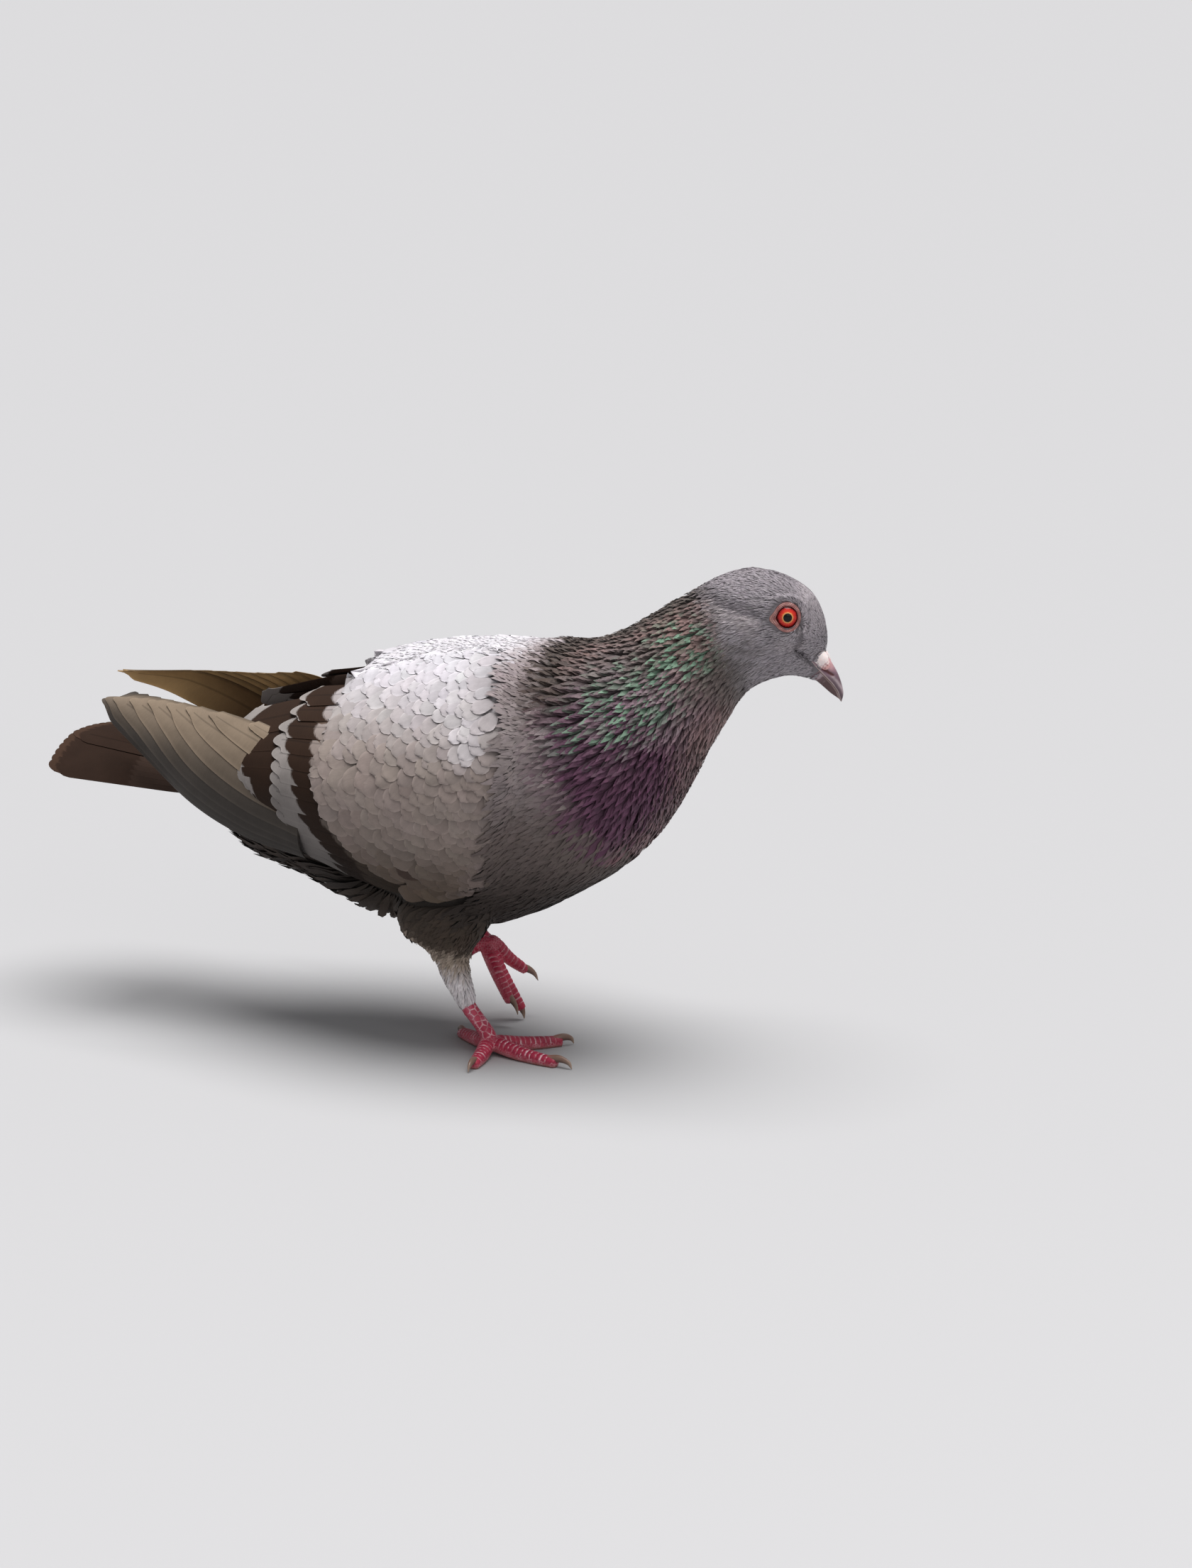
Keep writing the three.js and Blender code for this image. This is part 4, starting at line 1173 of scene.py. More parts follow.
# %% Cere
LOBE_AT, LOBE_SIZE, LOBE_SLANT = (117.5, 2.3, 153.9), (4.4, 2.5, 2.75), math.radians(-50)
CERE_WHITE, CERE_PINK, CERE_GRAIN, CERE_BACK = shades(
    (236, 224, 222), (214, 160, 158), (150, 90, 92), (186, 140, 138),
)
lobes = bmesh.new()
c, s = math.cos(LOBE_SLANT), math.sin(LOBE_SLANT)
for way in (-1, 1):
    oval = bmesh.ops.create_uvsphere(lobes, u_segments=32, v_segments=20, radius=1.0)["verts"]
    for v in oval:
        thin = 1 - 0.30 * v.co.x
        x, y, z = v.co.x * LOBE_SIZE[0], v.co.y * LOBE_SIZE[1] * thin, v.co.z * LOBE_SIZE[2] * thin
        v.co = to_frame(np.array([
            LOBE_AT[0] + x * c - z * s,
            way * LOBE_AT[1] + y + 0.06 * way * x,
            LOBE_AT[2] + x * s + z * c,
        ]))
cere = melted("cere_flesh", lobes, 0.26 * MM, 7)
cere_at = to_bird(points_of(cere.data))
lumps = mottle(cere_at, 2.2, 21) - 0.5
put_points(cere.data, points_of(cere.data) + normals_of(cere.data) * ((0.2 + 0.12 * lumps) * MM)[:, None])
down_bill = (cere_at[:, 0] - 118.9) * 0.53 - (cere_at[:, 2] - 154.4) * 0.85
grains = ease(0.55, 0.8, mottle(cere_at, 0.5, 22))
paint_points(cere.data, painted(cere_at, CERE_WHITE, [
    (CERE_PINK, 0.85 * ease(0.8, 3.2, down_bill + 0.7 * lumps)),
    (CERE_GRAIN, 0.75 * grains * ease(0.4, 2.2, down_bill)),
    (CERE_BACK, 0.5 * ease(-2.4, -4.4, down_bill)),
]))
seated(cere, CERE_FINISH, "cere_skin", "cere")

# %% [markdown]
# A pigeon's foot is crimson. Along the top of each toe lies one row of broad scutes with pale edges; the
# shank has larger, uneven plates, and the sides and soles are beaded. Tubes along shank and toes melt
# into one smooth form first. Each point then learns where it is along its toe and how far from the next
# plate's border.

# %% Lines of the toes and claws
TOES = {
    "right": {
        "shank": [(-8.2, -23, 16.6), (-4.6, -23, 12.4), (-0.8, -23, 7.4)],
        "back": [(-1, -21, 3.9), (-9, -15.4, 2.5), (-17.8, -9.2, 1.8)],
        "inner": [(1, -22, 4.2), (9, -13.4, 2.3), (18.5, -3.6, 1.5)],
        "middle": [(2, -23, 4.2), (14, -25.4, 2.3), (27, -28, 1.5)],
        "outer": [(0, -24.5, 4.2), (1.6, -33, 2.3), (3, -41.5, 1.5)],
    },
    "left": {
        "shank": [(-33.4, 22.2, 41.4), (-28.8, 21.7, 36), (-23.8, 21.2, 30.4)],
        "back": [(-24, 20, 29.6), (-29.6, 17.6, 26), (-32.4, 16, 20.6)],
        "inner": [(-21.6, 19.4, 26.6), (-15.6, 15.6, 19), (-10.6, 14.6, 10.6)],
        "middle": [(-22, 21, 27.6), (-16, 21.6, 16.4), (-9.9, 22.6, 5.8)],
        "outer": [(-20.6, 22.4, 29.6), (-16.8, 27, 22.8), (-12.6, 31.2, 18)],
    },
}
CLAWS = {
    "right": {
        "back": [(-16.4, -10.2, 2.4), (-19.4, -7.7, 3.2), (-21.3, -5.9, 2.2), (-21.8, -5.3, 0.4)],
        "inner": [(17.2, -5.0, 2.3), (20.6, -1.7, 3.3), (22.8, 0.4, 2.4), (23.6, 1.2, 0.4)],
        "middle": [(25.5, -27.7, 2.3), (29.8, -28.5, 3.5), (33.4, -29.2, 2.6), (34.8, -29.5, 0.4)],
        "outer": [(2.8, -40.2, 2.3), (3.3, -44.2, 3.4), (3.7, -47.4, 2.4), (3.8, -48.6, 0.4)],
    },
    "left": {
        "back": [(-32.2, 16.2, 21.6), (-33, 15.6, 18.6), (-32.8, 15.2, 15.8), (-31.6, 15, 13.8)],
        "inner": [(-11.2, 14.6, 11.6), (-8.8, 14.2, 10.0), (-6.9, 13.8, 7.6), (-6, 13.6, 4.6)],
        "middle": [(-10.9, 22.6, 6.4), (-9.2, 22.8, 4.8), (-8.2, 22.9, 2.6), (-7.8, 22.9, 0.4)],
        "outer": [(-13.6, 30.5, 18.5), (-10.9, 32.5, 17.4), (-8.8, 34, 15.4), (-7.6, 34.8, 12.6)],
    },
}
SCUTE, BEAD, PLATE = 2.05, 0.8, 1.9
print("each foot has", len(CLAWS["right"]), "toes, with scutes every", SCUTE, "mm")


# %% Borders of the scales

def cell_borders(p, spacing, seed):
    """Cells of about a spacing (mm) over points: each point's distance from its cell's border."""
    middles = sown(p, spacing, np.random.default_rng(seed).permutation(len(p)))
    near, gap = nearest_of(p, middles, 2)
    apart = np.linalg.norm(p[near[:, 0]] - p[near[:, 1]], axis=1)
    return (gap[:, 1] ** 2 - gap[:, 0] ** 2) / (2 * apart + 1e-9)


def on_limbs(p, limbs):
    """For each point: its nearest limb, mm along it, the way out of it, and the limb's own way."""
    best, which, along = np.full(len(p), 1e9), np.zeros(len(p), int), np.zeros(len(p))
    out, way = np.zeros((len(p), 3)), np.zeros((len(p), 3))
    for number, line in enumerate(limbs.values()):
        line = along_line(line, np.linspace(0, 1, 13))
        run = 0.0
        for a, b in zip(line[:-1], line[1:]):
            step = b - a
            long = np.linalg.norm(step)
            t = np.clip(((p - a) @ step) / long**2, 0, 1)
            apart = p - a - t[:, None] * step
            gap = np.linalg.norm(apart, axis=1)
            closer = gap < best
            best[closer], which[closer], along[closer] = gap[closer], number, (run + t * long)[closer]
            out[closer], way[closer] = apart[closer], step / long
            run += long
    return which, along, unit(out), way


# %% Shank and toes
def tube(line, radii, rows=30, around=20, wide=1.0):
    """Rings along a smooth line; wide stretches them sideways."""
    share = np.linspace(0, 1, rows)
    middle = along_line(np.array(line, float), share)
    radius = along_line(np.array(radii, float)[:, None], share)
    way = unit(np.gradient(middle, axis=0))
    beside = unit(np.cross(way, [0.02, 0, 1.0]))
    above = np.cross(beside, way)
    turn = np.linspace(0, 2 * np.pi, around, endpoint=False)[None, :, None]
    ring = np.cos(turn) * beside[:, None] * wide + np.sin(turn) * above[:, None]
    return middle[:, None] + radius[:, None] * ring


SHANK_TOP = {"right": (-12.0, -23, 22.5), "left": (-37.5, 22.6, 46.0)}
BALL = {"right": (-0.2, -23, 3.9), "left": (-22.4, 21, 28.8)}
SHANK_RADII, TOE_RADII = [2.9, 2.9, 2.8, 3.0, 3.4], np.array([3.3, 3.05, 2.85, 2.3, 1.7])
TOE_END = np.array([0.92, 0.7, 0.35])[:, None, None]


def leg_shape(side):
    """Tubes along the shank and the toes, melted into one smooth form."""
    toes = TOES[side]
    parts = [ringed(tube([SHANK_TOP[side], *toes["shank"], BALL[side]], SHANK_RADII))]
    for name, line in toes.items():
        if name != "shank":
            way = unit(np.subtract(line[-1], line[-2])) * 2.4
            size = 1.0 if side == "right" else 0.88
            rings = tube([BALL[side], *line, np.add(line[-1], way)], TOE_RADII * size)
            rings[-3:] = rings[-3:].mean(1, keepdims=True) * (1 - TOE_END) + rings[-3:] * TOE_END
            parts.append(ringed(rings))
    limbs = surface_of("limbs", [(p, f, np.zeros((len(p), 3))) for p, f in parts])
    shapes = bmesh.new()
    shapes.from_mesh(limbs.data)
    bpy.data.objects.remove(limbs)
    return melted(f"leg_{side}", shapes, 0.36 * MM, 7)


# %% Scales and their colours
CRIMSON, DEEP_CRIMSON, SOLE_PINK, PLATE_PINK = shades(
    (186, 52, 80), (160, 28, 62), (206, 122, 126), (196, 120, 140),
)
SCALE_EDGE, SOLE_BROWN = shades((240, 206, 212), (150, 96, 88))


def leg(side, seed):
    """Scutes, plates and beads raised on a leg, with their pale edges."""
    thing = leg_shape(side)
    p = to_bird(points_of(thing.data))
    which, along, out, way = on_limbs(p, TOES[side])
    ahead = np.array([0.0, 0, 1]) if side == "right" else np.array([0.8, 0, 0.6])
    dorsal = np.where((which == 0)[:, None], np.array([1.0, 0, 0.3]), ahead)
    dorsal = unit(dorsal - way * (dorsal * way).sum(1)[:, None])
    upness = (out * dorsal).sum(1)
    small, large = cell_borders(p, BEAD, seed), cell_borders(p, PLATE, seed + 1)
    phase = along / SCUTE + 0.06 * np.sin(along * 5.0 + which)
    f = phase - np.floor(phase)
    row_border = np.minimum(f, 1 - f) * SCUTE
    toe_top = ease(0.15, 0.4, upness) * (which > 0) * ease(1.0, 3.0, along)
    toe_top *= np.where(which == 1, 0.4, 1.0)
    shank_front = ease(-0.35, -0.05, upness) * (which == 0)
    side_edge = np.abs(upness - 0.28) * 2.6
    plate = np.minimum(row_border, side_edge + 0.25)
    border = small * 0.9
    border = border + (plate - border) * toe_top
    border = border + (large - border) * shank_front
    size = 0.16 + 0.10 * toe_top + 0.06 * shank_front
    raised = size * ease(0.02, 0.42, border)
    put_points(thing.data, points_of(thing.data) + normals_of(thing.data) * ((raised - 0.10) * MM)[:, None])
    colour = painted(p, CRIMSON, [
        (DEEP_CRIMSON, 0.7 * ease(0.3, 0.8, mottle(p, 7.0, seed)) + 0.3 * toe_top),
        (SOLE_PINK, 0.6 * ease(0.1, -0.45, upness) * (which > 0)),
        (PLATE_PINK, 0.35 * shank_front * ease(0.5, 0.9, mottle(p, 3.0, seed + 2))),
    ])
    edge = ease(0.24, 0.06, border) * (0.30 + 0.62 * toe_top + 0.45 * shank_front)
    edge *= 0.35 + 0.95 * mottle(p, 2.2, seed + 3)
    if side == "left":
        colour = colour * np.array([1.0, 0.75, 0.85])
        edge *= 0.55
    colour = layer(colour, SCALE_EDGE, edge)
    sole = ease(1.4, 0.3, p[:, 2]) if side == "right" else 0 * p[:, 2]
    colour = layer(colour, SOLE_BROWN, sole * 0.8)
    paint_points(thing.data, colour)
    low = points_of(thing.data)
    low[:, 2] = np.maximum(low[:, 2], (0.02 + 0.02 * np.sin(low[:, 0] * 900) ** 2) * MM)
    put_points(thing.data, low)
    return seated(thing, LEG_SKIN_FINISH, "leg_skin", f"shank_{side}", f"foot_{side}")


# %% Claws, and both feet
CLAW_RADII, CLAW_ROWS, CLAW_AROUND = [1.7, 1.6, 1.35, 1.0, 0.6, 0.16], 26, 20
CLAW_HORN, CLAW_ROOT, CLAW_UNDER, CLAW_TIP = shades(
    (126, 98, 84), (176, 104, 104), (88, 62, 54), (184, 164, 146),
)


def claws(side):
    """A foot's four claws as one piece."""
    parts = []
    for line in CLAWS[side].values():
        rings = tube(line, CLAW_RADII, rows=CLAW_ROWS, around=CLAW_AROUND, wide=0.76)
        rings[..., 2] = np.maximum(rings[..., 2], 0.03)
        places, faces = ringed(rings)
        turn = np.linspace(0, 2 * np.pi, CLAW_AROUND, endpoint=False)
        run = np.concatenate([np.repeat(np.linspace(0, 1, CLAW_ROWS), CLAW_AROUND), [0, 1]])
        top = np.concatenate([np.tile(np.sin(turn), CLAW_ROWS), [0, 0]])
        parts.append((places, faces, painted(places, CLAW_HORN, [
            (CLAW_ROOT, 0.6 * ease(0.3, 0.0, run)),
            (CLAW_UNDER, 0.7 * ease(0.2, -0.5, top)),
            (CLAW_TIP, 0.6 * ease(0.5, 1.0, run)),
        ])))
    thing = surface_of(f"claws_{side}", parts)
    return seated(thing, CLAW_FINISH, "claw_horn", *[f"claw_{side}_{n}" for n in CLAWS[side]])


for number, side in enumerate(SIDES):
    leg(side, 91 + 10 * number)
    claws(side)

# %% [markdown]
# A small feather is a flat vane: narrow at the root, widest past its middle, and frayed at the tip. Each
# pattern is one unit long and one wide and has only a few dozen faces, since it is repeated thousands of
# times. Its top is a grid with a raised middle and its underside spans the edges, so it is a closed thin
# sheet.


# %% Feather patterns
WIDEST_AT = 0.62


def bow(t, tip_width):
    """Share of the full width at a share t of the length; a tip width of 0 means a round end."""
    full = np.sin(np.pi * np.minimum(t, WIDEST_AT) / (2 * WIDEST_AT)) ** 0.7
    if tip_width == 0:
        return full * np.sqrt(max(1.0 - (max(t - WIDEST_AT, 0) / 0.40) ** 2, 0.03))
    return full * (1 - (1 - tip_width) * ease(0.6, 1, t))


def feather_pattern(name, columns, rows, tip_width, roundness, fray, seed):
    """One unit feather along +X with attributes along, across, rim and deep."""
    pick = np.random.default_rng(seed)
    across = np.linspace(-1, 1, columns)
    places, along, side, rim, deep = [(0, 0, 0)], [0.0], [0.0], [1.0], [0.0]
    for row, share in enumerate(rows):
        last = row == len(rows) - 1
        wobble = pick.uniform(-1, 1, columns) * fray * (1.0 if last else 0.15)
        x = share - roundness * across**2 * share**3 + wobble
        y = 0.5 * across * bow(share, tip_width) + pick.uniform(-1, 1, columns) * fray * 0.12
        for k in range(columns):
            edge = k in (0, columns - 1) or last
            places.append((x[k], y[k], 0))
            along.append(share)
            side.append(across[k])
            rim.append(1.0 if edge else 0.0)
            deep.append(0.25 * (1 - abs(across[k])) if edge else 1 - 0.5 * across[k] ** 2)
    faces = [(0, 1 + k, 2 + k) for k in range(columns - 1)]
    for row in range(len(rows) - 1):
        a, b = 1 + row * columns, 1 + (row + 1) * columns
        faces += [(a + k, b + k, b + k + 1, a + k + 1) for k in range(columns - 1)]
    ends = [(1 + row * columns, (row + 1) * columns) for row in range(len(rows))]
    faces.append((0, ends[0][1], ends[0][0]))
    for (a, b), (c, d) in zip(ends[:-2], ends[1:-1]):
        faces.append((a, b, d, c))
    faces.append((ends[-2][0], ends[-2][1], *range(ends[-1][1], ends[-1][0] - 1, -1)))
    mesh = bpy.data.meshes.new(name)
    mesh.from_pydata(places, [], [f[::-1] for f in faces])
    for title, values in (("along", along), ("across", side), ("rim", rim), ("deep", deep)):
        store(mesh, title, values)
    smooth_shaded(mesh)
    top = (columns - 1) * len(rows)
    under = {tuple(sorted(key)) for face in mesh.polygons[top:] for key in face.edge_keys}
    above = {tuple(sorted(key)) for face in mesh.polygons[:top] for key in face.edge_keys}
    for edge in mesh.edges:
        edge.use_edge_sharp = tuple(sorted(edge.vertices)) in under & above
    return mesh


def pattern_set(name, count, *shape):
    """A collection of a few patterns that differ only in their fray."""
    group = bpy.data.collections.new(name)
    for k in range(count):
        mesh = feather_pattern(f"{name}_{k}", *shape, seed=k + 1)
        group.objects.link(bpy.data.objects.new(f"{name}_{k}", mesh))
    size = sum(len(p.vertices) - 2 for p in mesh.polygons)
    print(name, count, "patterns of", size, "triangles")
    return group


# Each row: name, how many, columns, rows, tip width, roundness and fray.
WISP = pattern_set("wisp", 4, 3, (0.3, 0.7, 1.0), 0.45, 0.22, 0.05)
PLUSH = pattern_set("plush", 5, 5, (0.28, 0.66, 1.0), 0.5, 0.2, 0.06)
COVERT = pattern_set("covert", 4, 7, (0.2, 0.5, 0.72, 0.87, 0.96, 1.0), 0, 0.04, 0.022)

# %% [markdown]
# Thousands of feathers over a curved skin are a task for Geometry Nodes. The tree stands a pattern on
# every point of a cloud, turned to its own lie and scaled to its own size, joins them all, and then bends
# each feather onto the skin: every corner moves to the nearest place on the skin and rises from it,
# little at the root and more at the tip, so that feathers overlap like tiles.


# %% The plumage tree
def plumage_tree():
    tree = bpy.data.node_groups.new("Plumage", "GeometryNodeTree")
    face = tree.interface
    face.new_socket("Points", in_out="INPUT", socket_type="NodeSocketGeometry")
    for title, kind in (("Skin", "Object"), ("Patterns", "Collection"), ("Finish", "Material")):
        face.new_socket(title, in_out="INPUT", socket_type=f"NodeSocket{kind}")
    for title, value in (("Clearance", 0.0001), ("Thickness", 0.0003), ("Patch", 0.003)):
        face.new_socket(title, in_out="INPUT", socket_type="NodeSocketFloat").default_value = value
    face.new_socket("Feathers", in_out="OUTPUT", socket_type="NodeSocketGeometry")
    given = tree.nodes.new("NodeGroupInput").outputs
    turn = new_node(
        tree, "FunctionNodeAxesToRotation", {"primary_axis": "Z", "secondary_axis": "X"},
        Primary_Axis=stored(tree, "up", "FLOAT_VECTOR"), Secondary_Axis=stored(tree, "lie", "FLOAT_VECTOR"),
    )
    patterns = new_node(
        tree, "GeometryNodeCollectionInfo", Collection=given["Patterns"],
        Separate_Children=True, Reset_Children=True,
    )
    chance = new_node(tree, "FunctionNodeRandomValue", {"data_type": "INT"}, Seed=7)
    chance.inputs[5].default_value = 1000
    planted = new_node(
        tree, "GeometryNodeInstanceOnPoints", Points=given["Points"], Instance=patterns.outputs[0],
        Pick_Instance=True, Instance_Index=chance.outputs[2], Rotation=turn.outputs[0],
        Scale=stored(tree, "size", "FLOAT_VECTOR"),
    )
    joined = new_node(tree, "GeometryNodeRealizeInstances", Geometry=planted.outputs[0]).outputs[0]
    body = new_node(tree, "GeometryNodeObjectInfo", Object=given["Skin"]).outputs["Geometry"]
    place = new_node(tree, "GeometryNodeInputPosition").outputs[0]

    def nearest(value):
        """A vector of the skin's at the place nearest to the feather's corner."""
        settings = {"data_type": "FLOAT_VECTOR"}
        return new_node(
            tree, "GeometryNodeSampleNearestSurface", settings,
            Mesh=body, Value=value, Sample_Position=place,
        ).outputs[0]

    lift, lean, curl = parted(tree, stored(tree, "rise", "FLOAT_VECTOR"))
    along, across = stored(tree, "along"), stored(tree, "across")
    height = times(tree, lift, sum_of(tree, "POWER", along, curl))
    height = times_plus(tree, times(tree, across, along), lean, height)
    height = times_plus(tree, stored(tree, "deep"), given["Thickness"], height)
    height = sum_of(tree, "ADD", height, given["Clearance"])
    skin_place = nearest(place)
    away = vector_of(tree, "NORMALIZE", nearest(stored(tree, "outward", "FLOAT_VECTOR")))
    bent = vector_of(tree, "ADD", skin_place, scaled(tree, away, height))
    laid = new_node(tree, "GeometryNodeSetPosition", Geometry=joined, Position=bent).outputs[0]
    offset = combined(tree, X=centred(tree, along), Y=times(tree, across, 0.5))
    offset = scaled(tree, offset, given["Patch"])
    patch = vector_of(tree, "ADD", stored(tree, "root", "FLOAT_VECTOR"), offset)
    mapped = new_node(
        tree, "GeometryNodeStoreNamedAttribute", {"data_type": "FLOAT2", "domain": "CORNER"},
        Geometry=laid, Name="OFBake", Value=patch,
    ).outputs[0]
    finished = new_node(tree, "GeometryNodeSetMaterial", Geometry=mapped, Material=given["Finish"])
    new_node(tree, "NodeGroupOutput", i0=finished.outputs[0])
    return tree


PLUMAGE = plumage_tree()
print("plumage tree of", len(PLUMAGE.nodes), "nodes")


# %% [markdown]
# Feather finishes share one recipe. The colour is the feather's own tint, darkened at its hidden root as
# painted shade, with fine barbs that slant from the shaft to the edge as streaks and as bump. What differs
# from tract to tract is how strong the streaks are, how pale the rim is and how much the surface shines.


# %% Feather finish
BARB_SLANT = 0.8


def feather_finish(name, barbs, streak, rim_light, shaft, rough, sheen, bump):
    """A material that reads tint, along, across and rim."""
    paint, tree, shader = new_finish(name)
    along, across, rim, own = (fact_of(tree, title) for title in ("along", "across", "rim", "own"))
    side = sum_of(tree, "ABSOLUTE", across)
    slope = times_plus(tree, along, -BARB_SLANT, side)
    down_vane = times_plus(tree, along, 1.5, sum_of(tree, "SIGN", across))
    hair = noise_of(tree, combined(tree, X=times(tree, slope, barbs), Y=down_vane, Z=own), 1.0, 3.0, 0.65)
    cloud = noise_of(tree, own_place(tree), 240.0)
    light = times_plus(tree, hair, 2 * streak, 1 - streak)
    light = times_plus(tree, centred(tree, cloud), 0.5, light)
    # Painted shade towards the root, where the next feathers cover it.
    light = times(tree, light, ranged(tree, along, 0.2, 0.85, 0.7, 1.05))
    edge = times(tree, rim, sum_of(tree, "GREATER_THAN", along, 0.5))
    light = times_plus(tree, edge, rim_light, light)
    quill = times(tree, sum_of(tree, "LESS_THAN", side, 0.1), shaft)
    light = sum_of(tree, "ADD", light, quill)
    feed(
        tree, shader, Base_Color=scaled(tree, fact_of(tree, "tint", "Color"), light),
        Roughness=times_plus(tree, hair, 0.2, rough - 0.1), Normal=bump_of(tree, hair, bump, 0.0006),
        Sheen_Weight=sheen, Sheen_Roughness=0.45, Specular_IOR_Level=0.25,
    )
    return paint


# Each row: name, barbs, streak, light of the rim, shaft, roughness, sheen and bump.
HEAD_FINISH = feather_finish("head_feathers", 4, 0.26, 0.10, 0.0, 0.66, 0.06, 0.3)
NECK_FINISH = feather_finish("neck_feathers", 7, 0.34, 0.14, 0.05, 0.46, 0.15, 0.45)
BODY_FINISH = feather_finish("body_feathers", 3, 0.14, 0.02, 0.0, 0.72, 0.04, 0.3)
LEG_FINISH = feather_finish("leg_feathers", 5, 0.16, 0.06, 0.0, 0.75, 0.04, 0.30)
COVERT_FINISH = feather_finish("covert_feathers", 16, 0.09, 0.24, 0.02, 0.68, 0.05, 0.2)
print("feather finishes", [m.name for m in bpy.data.materials if m.name.endswith("feathers")])

# %% The skin's finish
skin_paint, tree, shader = new_finish("feathered_skin")
down = noise_of(tree, own_place(tree), 700.0, 5.0, 0.5)
light = times_plus(tree, down, 0.8, 0.6)
feed(
    tree, shader, Base_Color=scaled(tree, fact_of(tree, "tint", "Color"), light), Roughness=0.85,
    Normal=bump_of(tree, down, 0.5, 0.0004),
)
skin.data.materials.clear()
skin.data.materials.append(skin_paint)
print("skin painted with", len(tree.nodes), "nodes")

# %% [markdown]
# Roots are thrown on the skin like darts: a random place is kept if no kept one is nearer than the
# spacing there. That gives an even but irregular cover. The spacing, like the feather's length, grows
# from the face to the belly and shrinks again on the legs.


# %% Throwing the roots
skin.data.calc_loop_triangles()
corner = values_of(skin.data.loop_triangles, "vertices", np.int32)
triangle = points_of(skin.data)[corner]
one_edge, other_edge = triangle[:, 1] - triangle[:, 0], triangle[:, 2] - triangle[:, 0]
triangle_area = np.linalg.norm(np.cross(one_edge, other_edge), axis=1) / 2
triangle_share = np.cumsum(triangle_area) / triangle_area.sum()
bare_corners, bare_faces = [], []
for thing in BARE_PARTS:
    start = len(bare_corners)
    bare_corners += [tuple(v.co) for v in thing.data.vertices]
    bare_faces += [tuple(start + i for i in p.vertices) for p in thing.data.polygons]
bare_tree = BVHTree.FromPolygons(bare_corners, bare_faces)


def random_places(count, pick):
    """Places and normals spread evenly over the skin."""
    i = np.searchsorted(triangle_share, pick.random(count))
    a, b = np.sqrt(pick.random((count, 1))), pick.random((count, 1))
    mix = np.concatenate([1 - a, a * (1 - b), a * b], 1)[:, :, None]
    return (triangle[i] * mix).sum(1), unit((skin_normals[corner[i]] * mix).sum(1))


def thrown(count, per_length, least, keep, seed):
    """Darts kept where keep holds, apart by a share of the feather's length and a least gap (mm)."""
    pick = np.random.default_rng(seed)
    place, up = random_places(count, pick)
    straight = to_bird(place)
    chosen = keep(straight)
    place, up, straight = place[chosen], up[chosen], straight[chosen]
    kept = sown(place / MM, per_length * feather_length(straight) + least, range(len(place)))
    return place[kept], up[kept], straight[kept]


print("skin area", round(triangle_area.sum() / MM**2), "square millimetres")


# %% Growing a tract
def lie_in_frame(straight, up, direction):
    """Straight directions turned with the neck and laid flat on the skin."""
    ahead = (to_frame(straight + direction * 0.5) - to_frame(straight - direction * 0.5)) / MM
    ahead -= up * (ahead * up).sum(1)[:, None]
    return unit(ahead)


def started(**plan):
    """A tract's roots with their lie and a random source for their sizes."""
    place, up, straight = thrown(**plan)
    lie = lie_in_frame(straight, up, lie_at(straight))
    return place, up, straight, lie, np.random.default_rng(plan["seed"] + 1)


def unwrapped(straight):
    """A place on an unwrap of the body: back to front, and round the body's own axis."""
    x, y, z = straight.T
    axis = np.interp(x, (-90, -20, 30, 60, 90, 125), (100, 100, 108, 128, 160, 160))
    round_body = (np.arctan2(y, z - axis) / (2 * np.pi)) % 1.0
    leg = (z < 60) & (x < 12) & (x > -60)
    u = np.clip(0.15 + 0.84 * (x + 140) / 266, 0.15, 0.99)
    v = round_body * 0.98 + 0.01
    leg_round = (np.arctan2(np.abs(y) - 23, x + 20) / (2 * np.pi)) % 1.0
    u = np.where(leg, 0.01 + 0.13 * np.clip((z - 12) / 50, 0, 1), u)
    v = np.where(leg, 0.01 + 0.48 * leg_round + 0.5 * (y > 0), v)
    return np.stack([u, v, np.zeros(len(x))], 1)


def grow(name, place, up, straight, lie, long, wide, lift, lean, tint, curl, patterns, finish, thick):
    """One tract of feathers as one mesh; sizes in millimetres."""
    mesh = bpy.data.meshes.new(name + "_roots")
    mesh.vertices.add(len(place))
    put_points(mesh, place + up * 0.05 * MM)
    size = np.stack([long * MM, wide * MM, np.ones(len(place))], 1)
    rise = np.stack([lift * MM, lean * MM, np.ones(len(place)) * curl], 1)
    own = np.random.default_rng(len(place)).uniform(0, 50, len(place))
    facts = {"up": up, "lie": lie, "size": size, "rise": rise, "root": unwrapped(straight), "own": own}
    for title, values in facts.items():
        store(mesh, title, values)
    paint_points(mesh, tint)
    tract = new_object(name, mesh)
    modifier = tract.modifiers.new("plumage", "NODES")
    modifier.node_group = PLUMAGE
    socket = {item.name: item.identifier for item in PLUMAGE.interface.items_tree if item.in_out == "INPUT"}
    modifier[socket["Skin"]] = skin
    modifier[socket["Patterns"]] = patterns
    modifier[socket["Finish"]] = finish
    modifier[socket["Thickness"]] = thick * MM
    done = made_plain(tract, name)
    for title in ("up", "lie", "size", "rise", "root", "deep", "outward"):
        if title in done.attributes:
            done.attributes.remove(done.attributes[title])
    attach(tract, "root")
    print(name, len(place), "feathers,", len(done.loop_triangles), "triangles")
    return tract


def speckled(tint, spread, seed):
    """Each feather a little lighter or darker than its neighbours."""
    pick = np.random.default_rng(seed)
    light = 1 + spread * pick.normal(0, 1, (len(tint), 1))
    return tint * light * (1 + 0.008 * pick.normal(0, 1, (len(tint), 3)))


def strayed(lie, up, spread, pick):
    """Feathers turned a little out of their shared lie."""
    return unit(lie + np.cross(up, lie) * pick.normal(0, spread, (len(lie), 1)))


def dressed(straight, long, pick, lean, off, spread, seed, colours=patterned):
    """Each feather's lean, and its tint read a little off its place (mm), so that borders are uneven."""
    lean = pick.normal(0, lean, len(long)) * long
    return lean, speckled(colours(straight + pick.normal(0, off, straight.shape)), spread, seed)


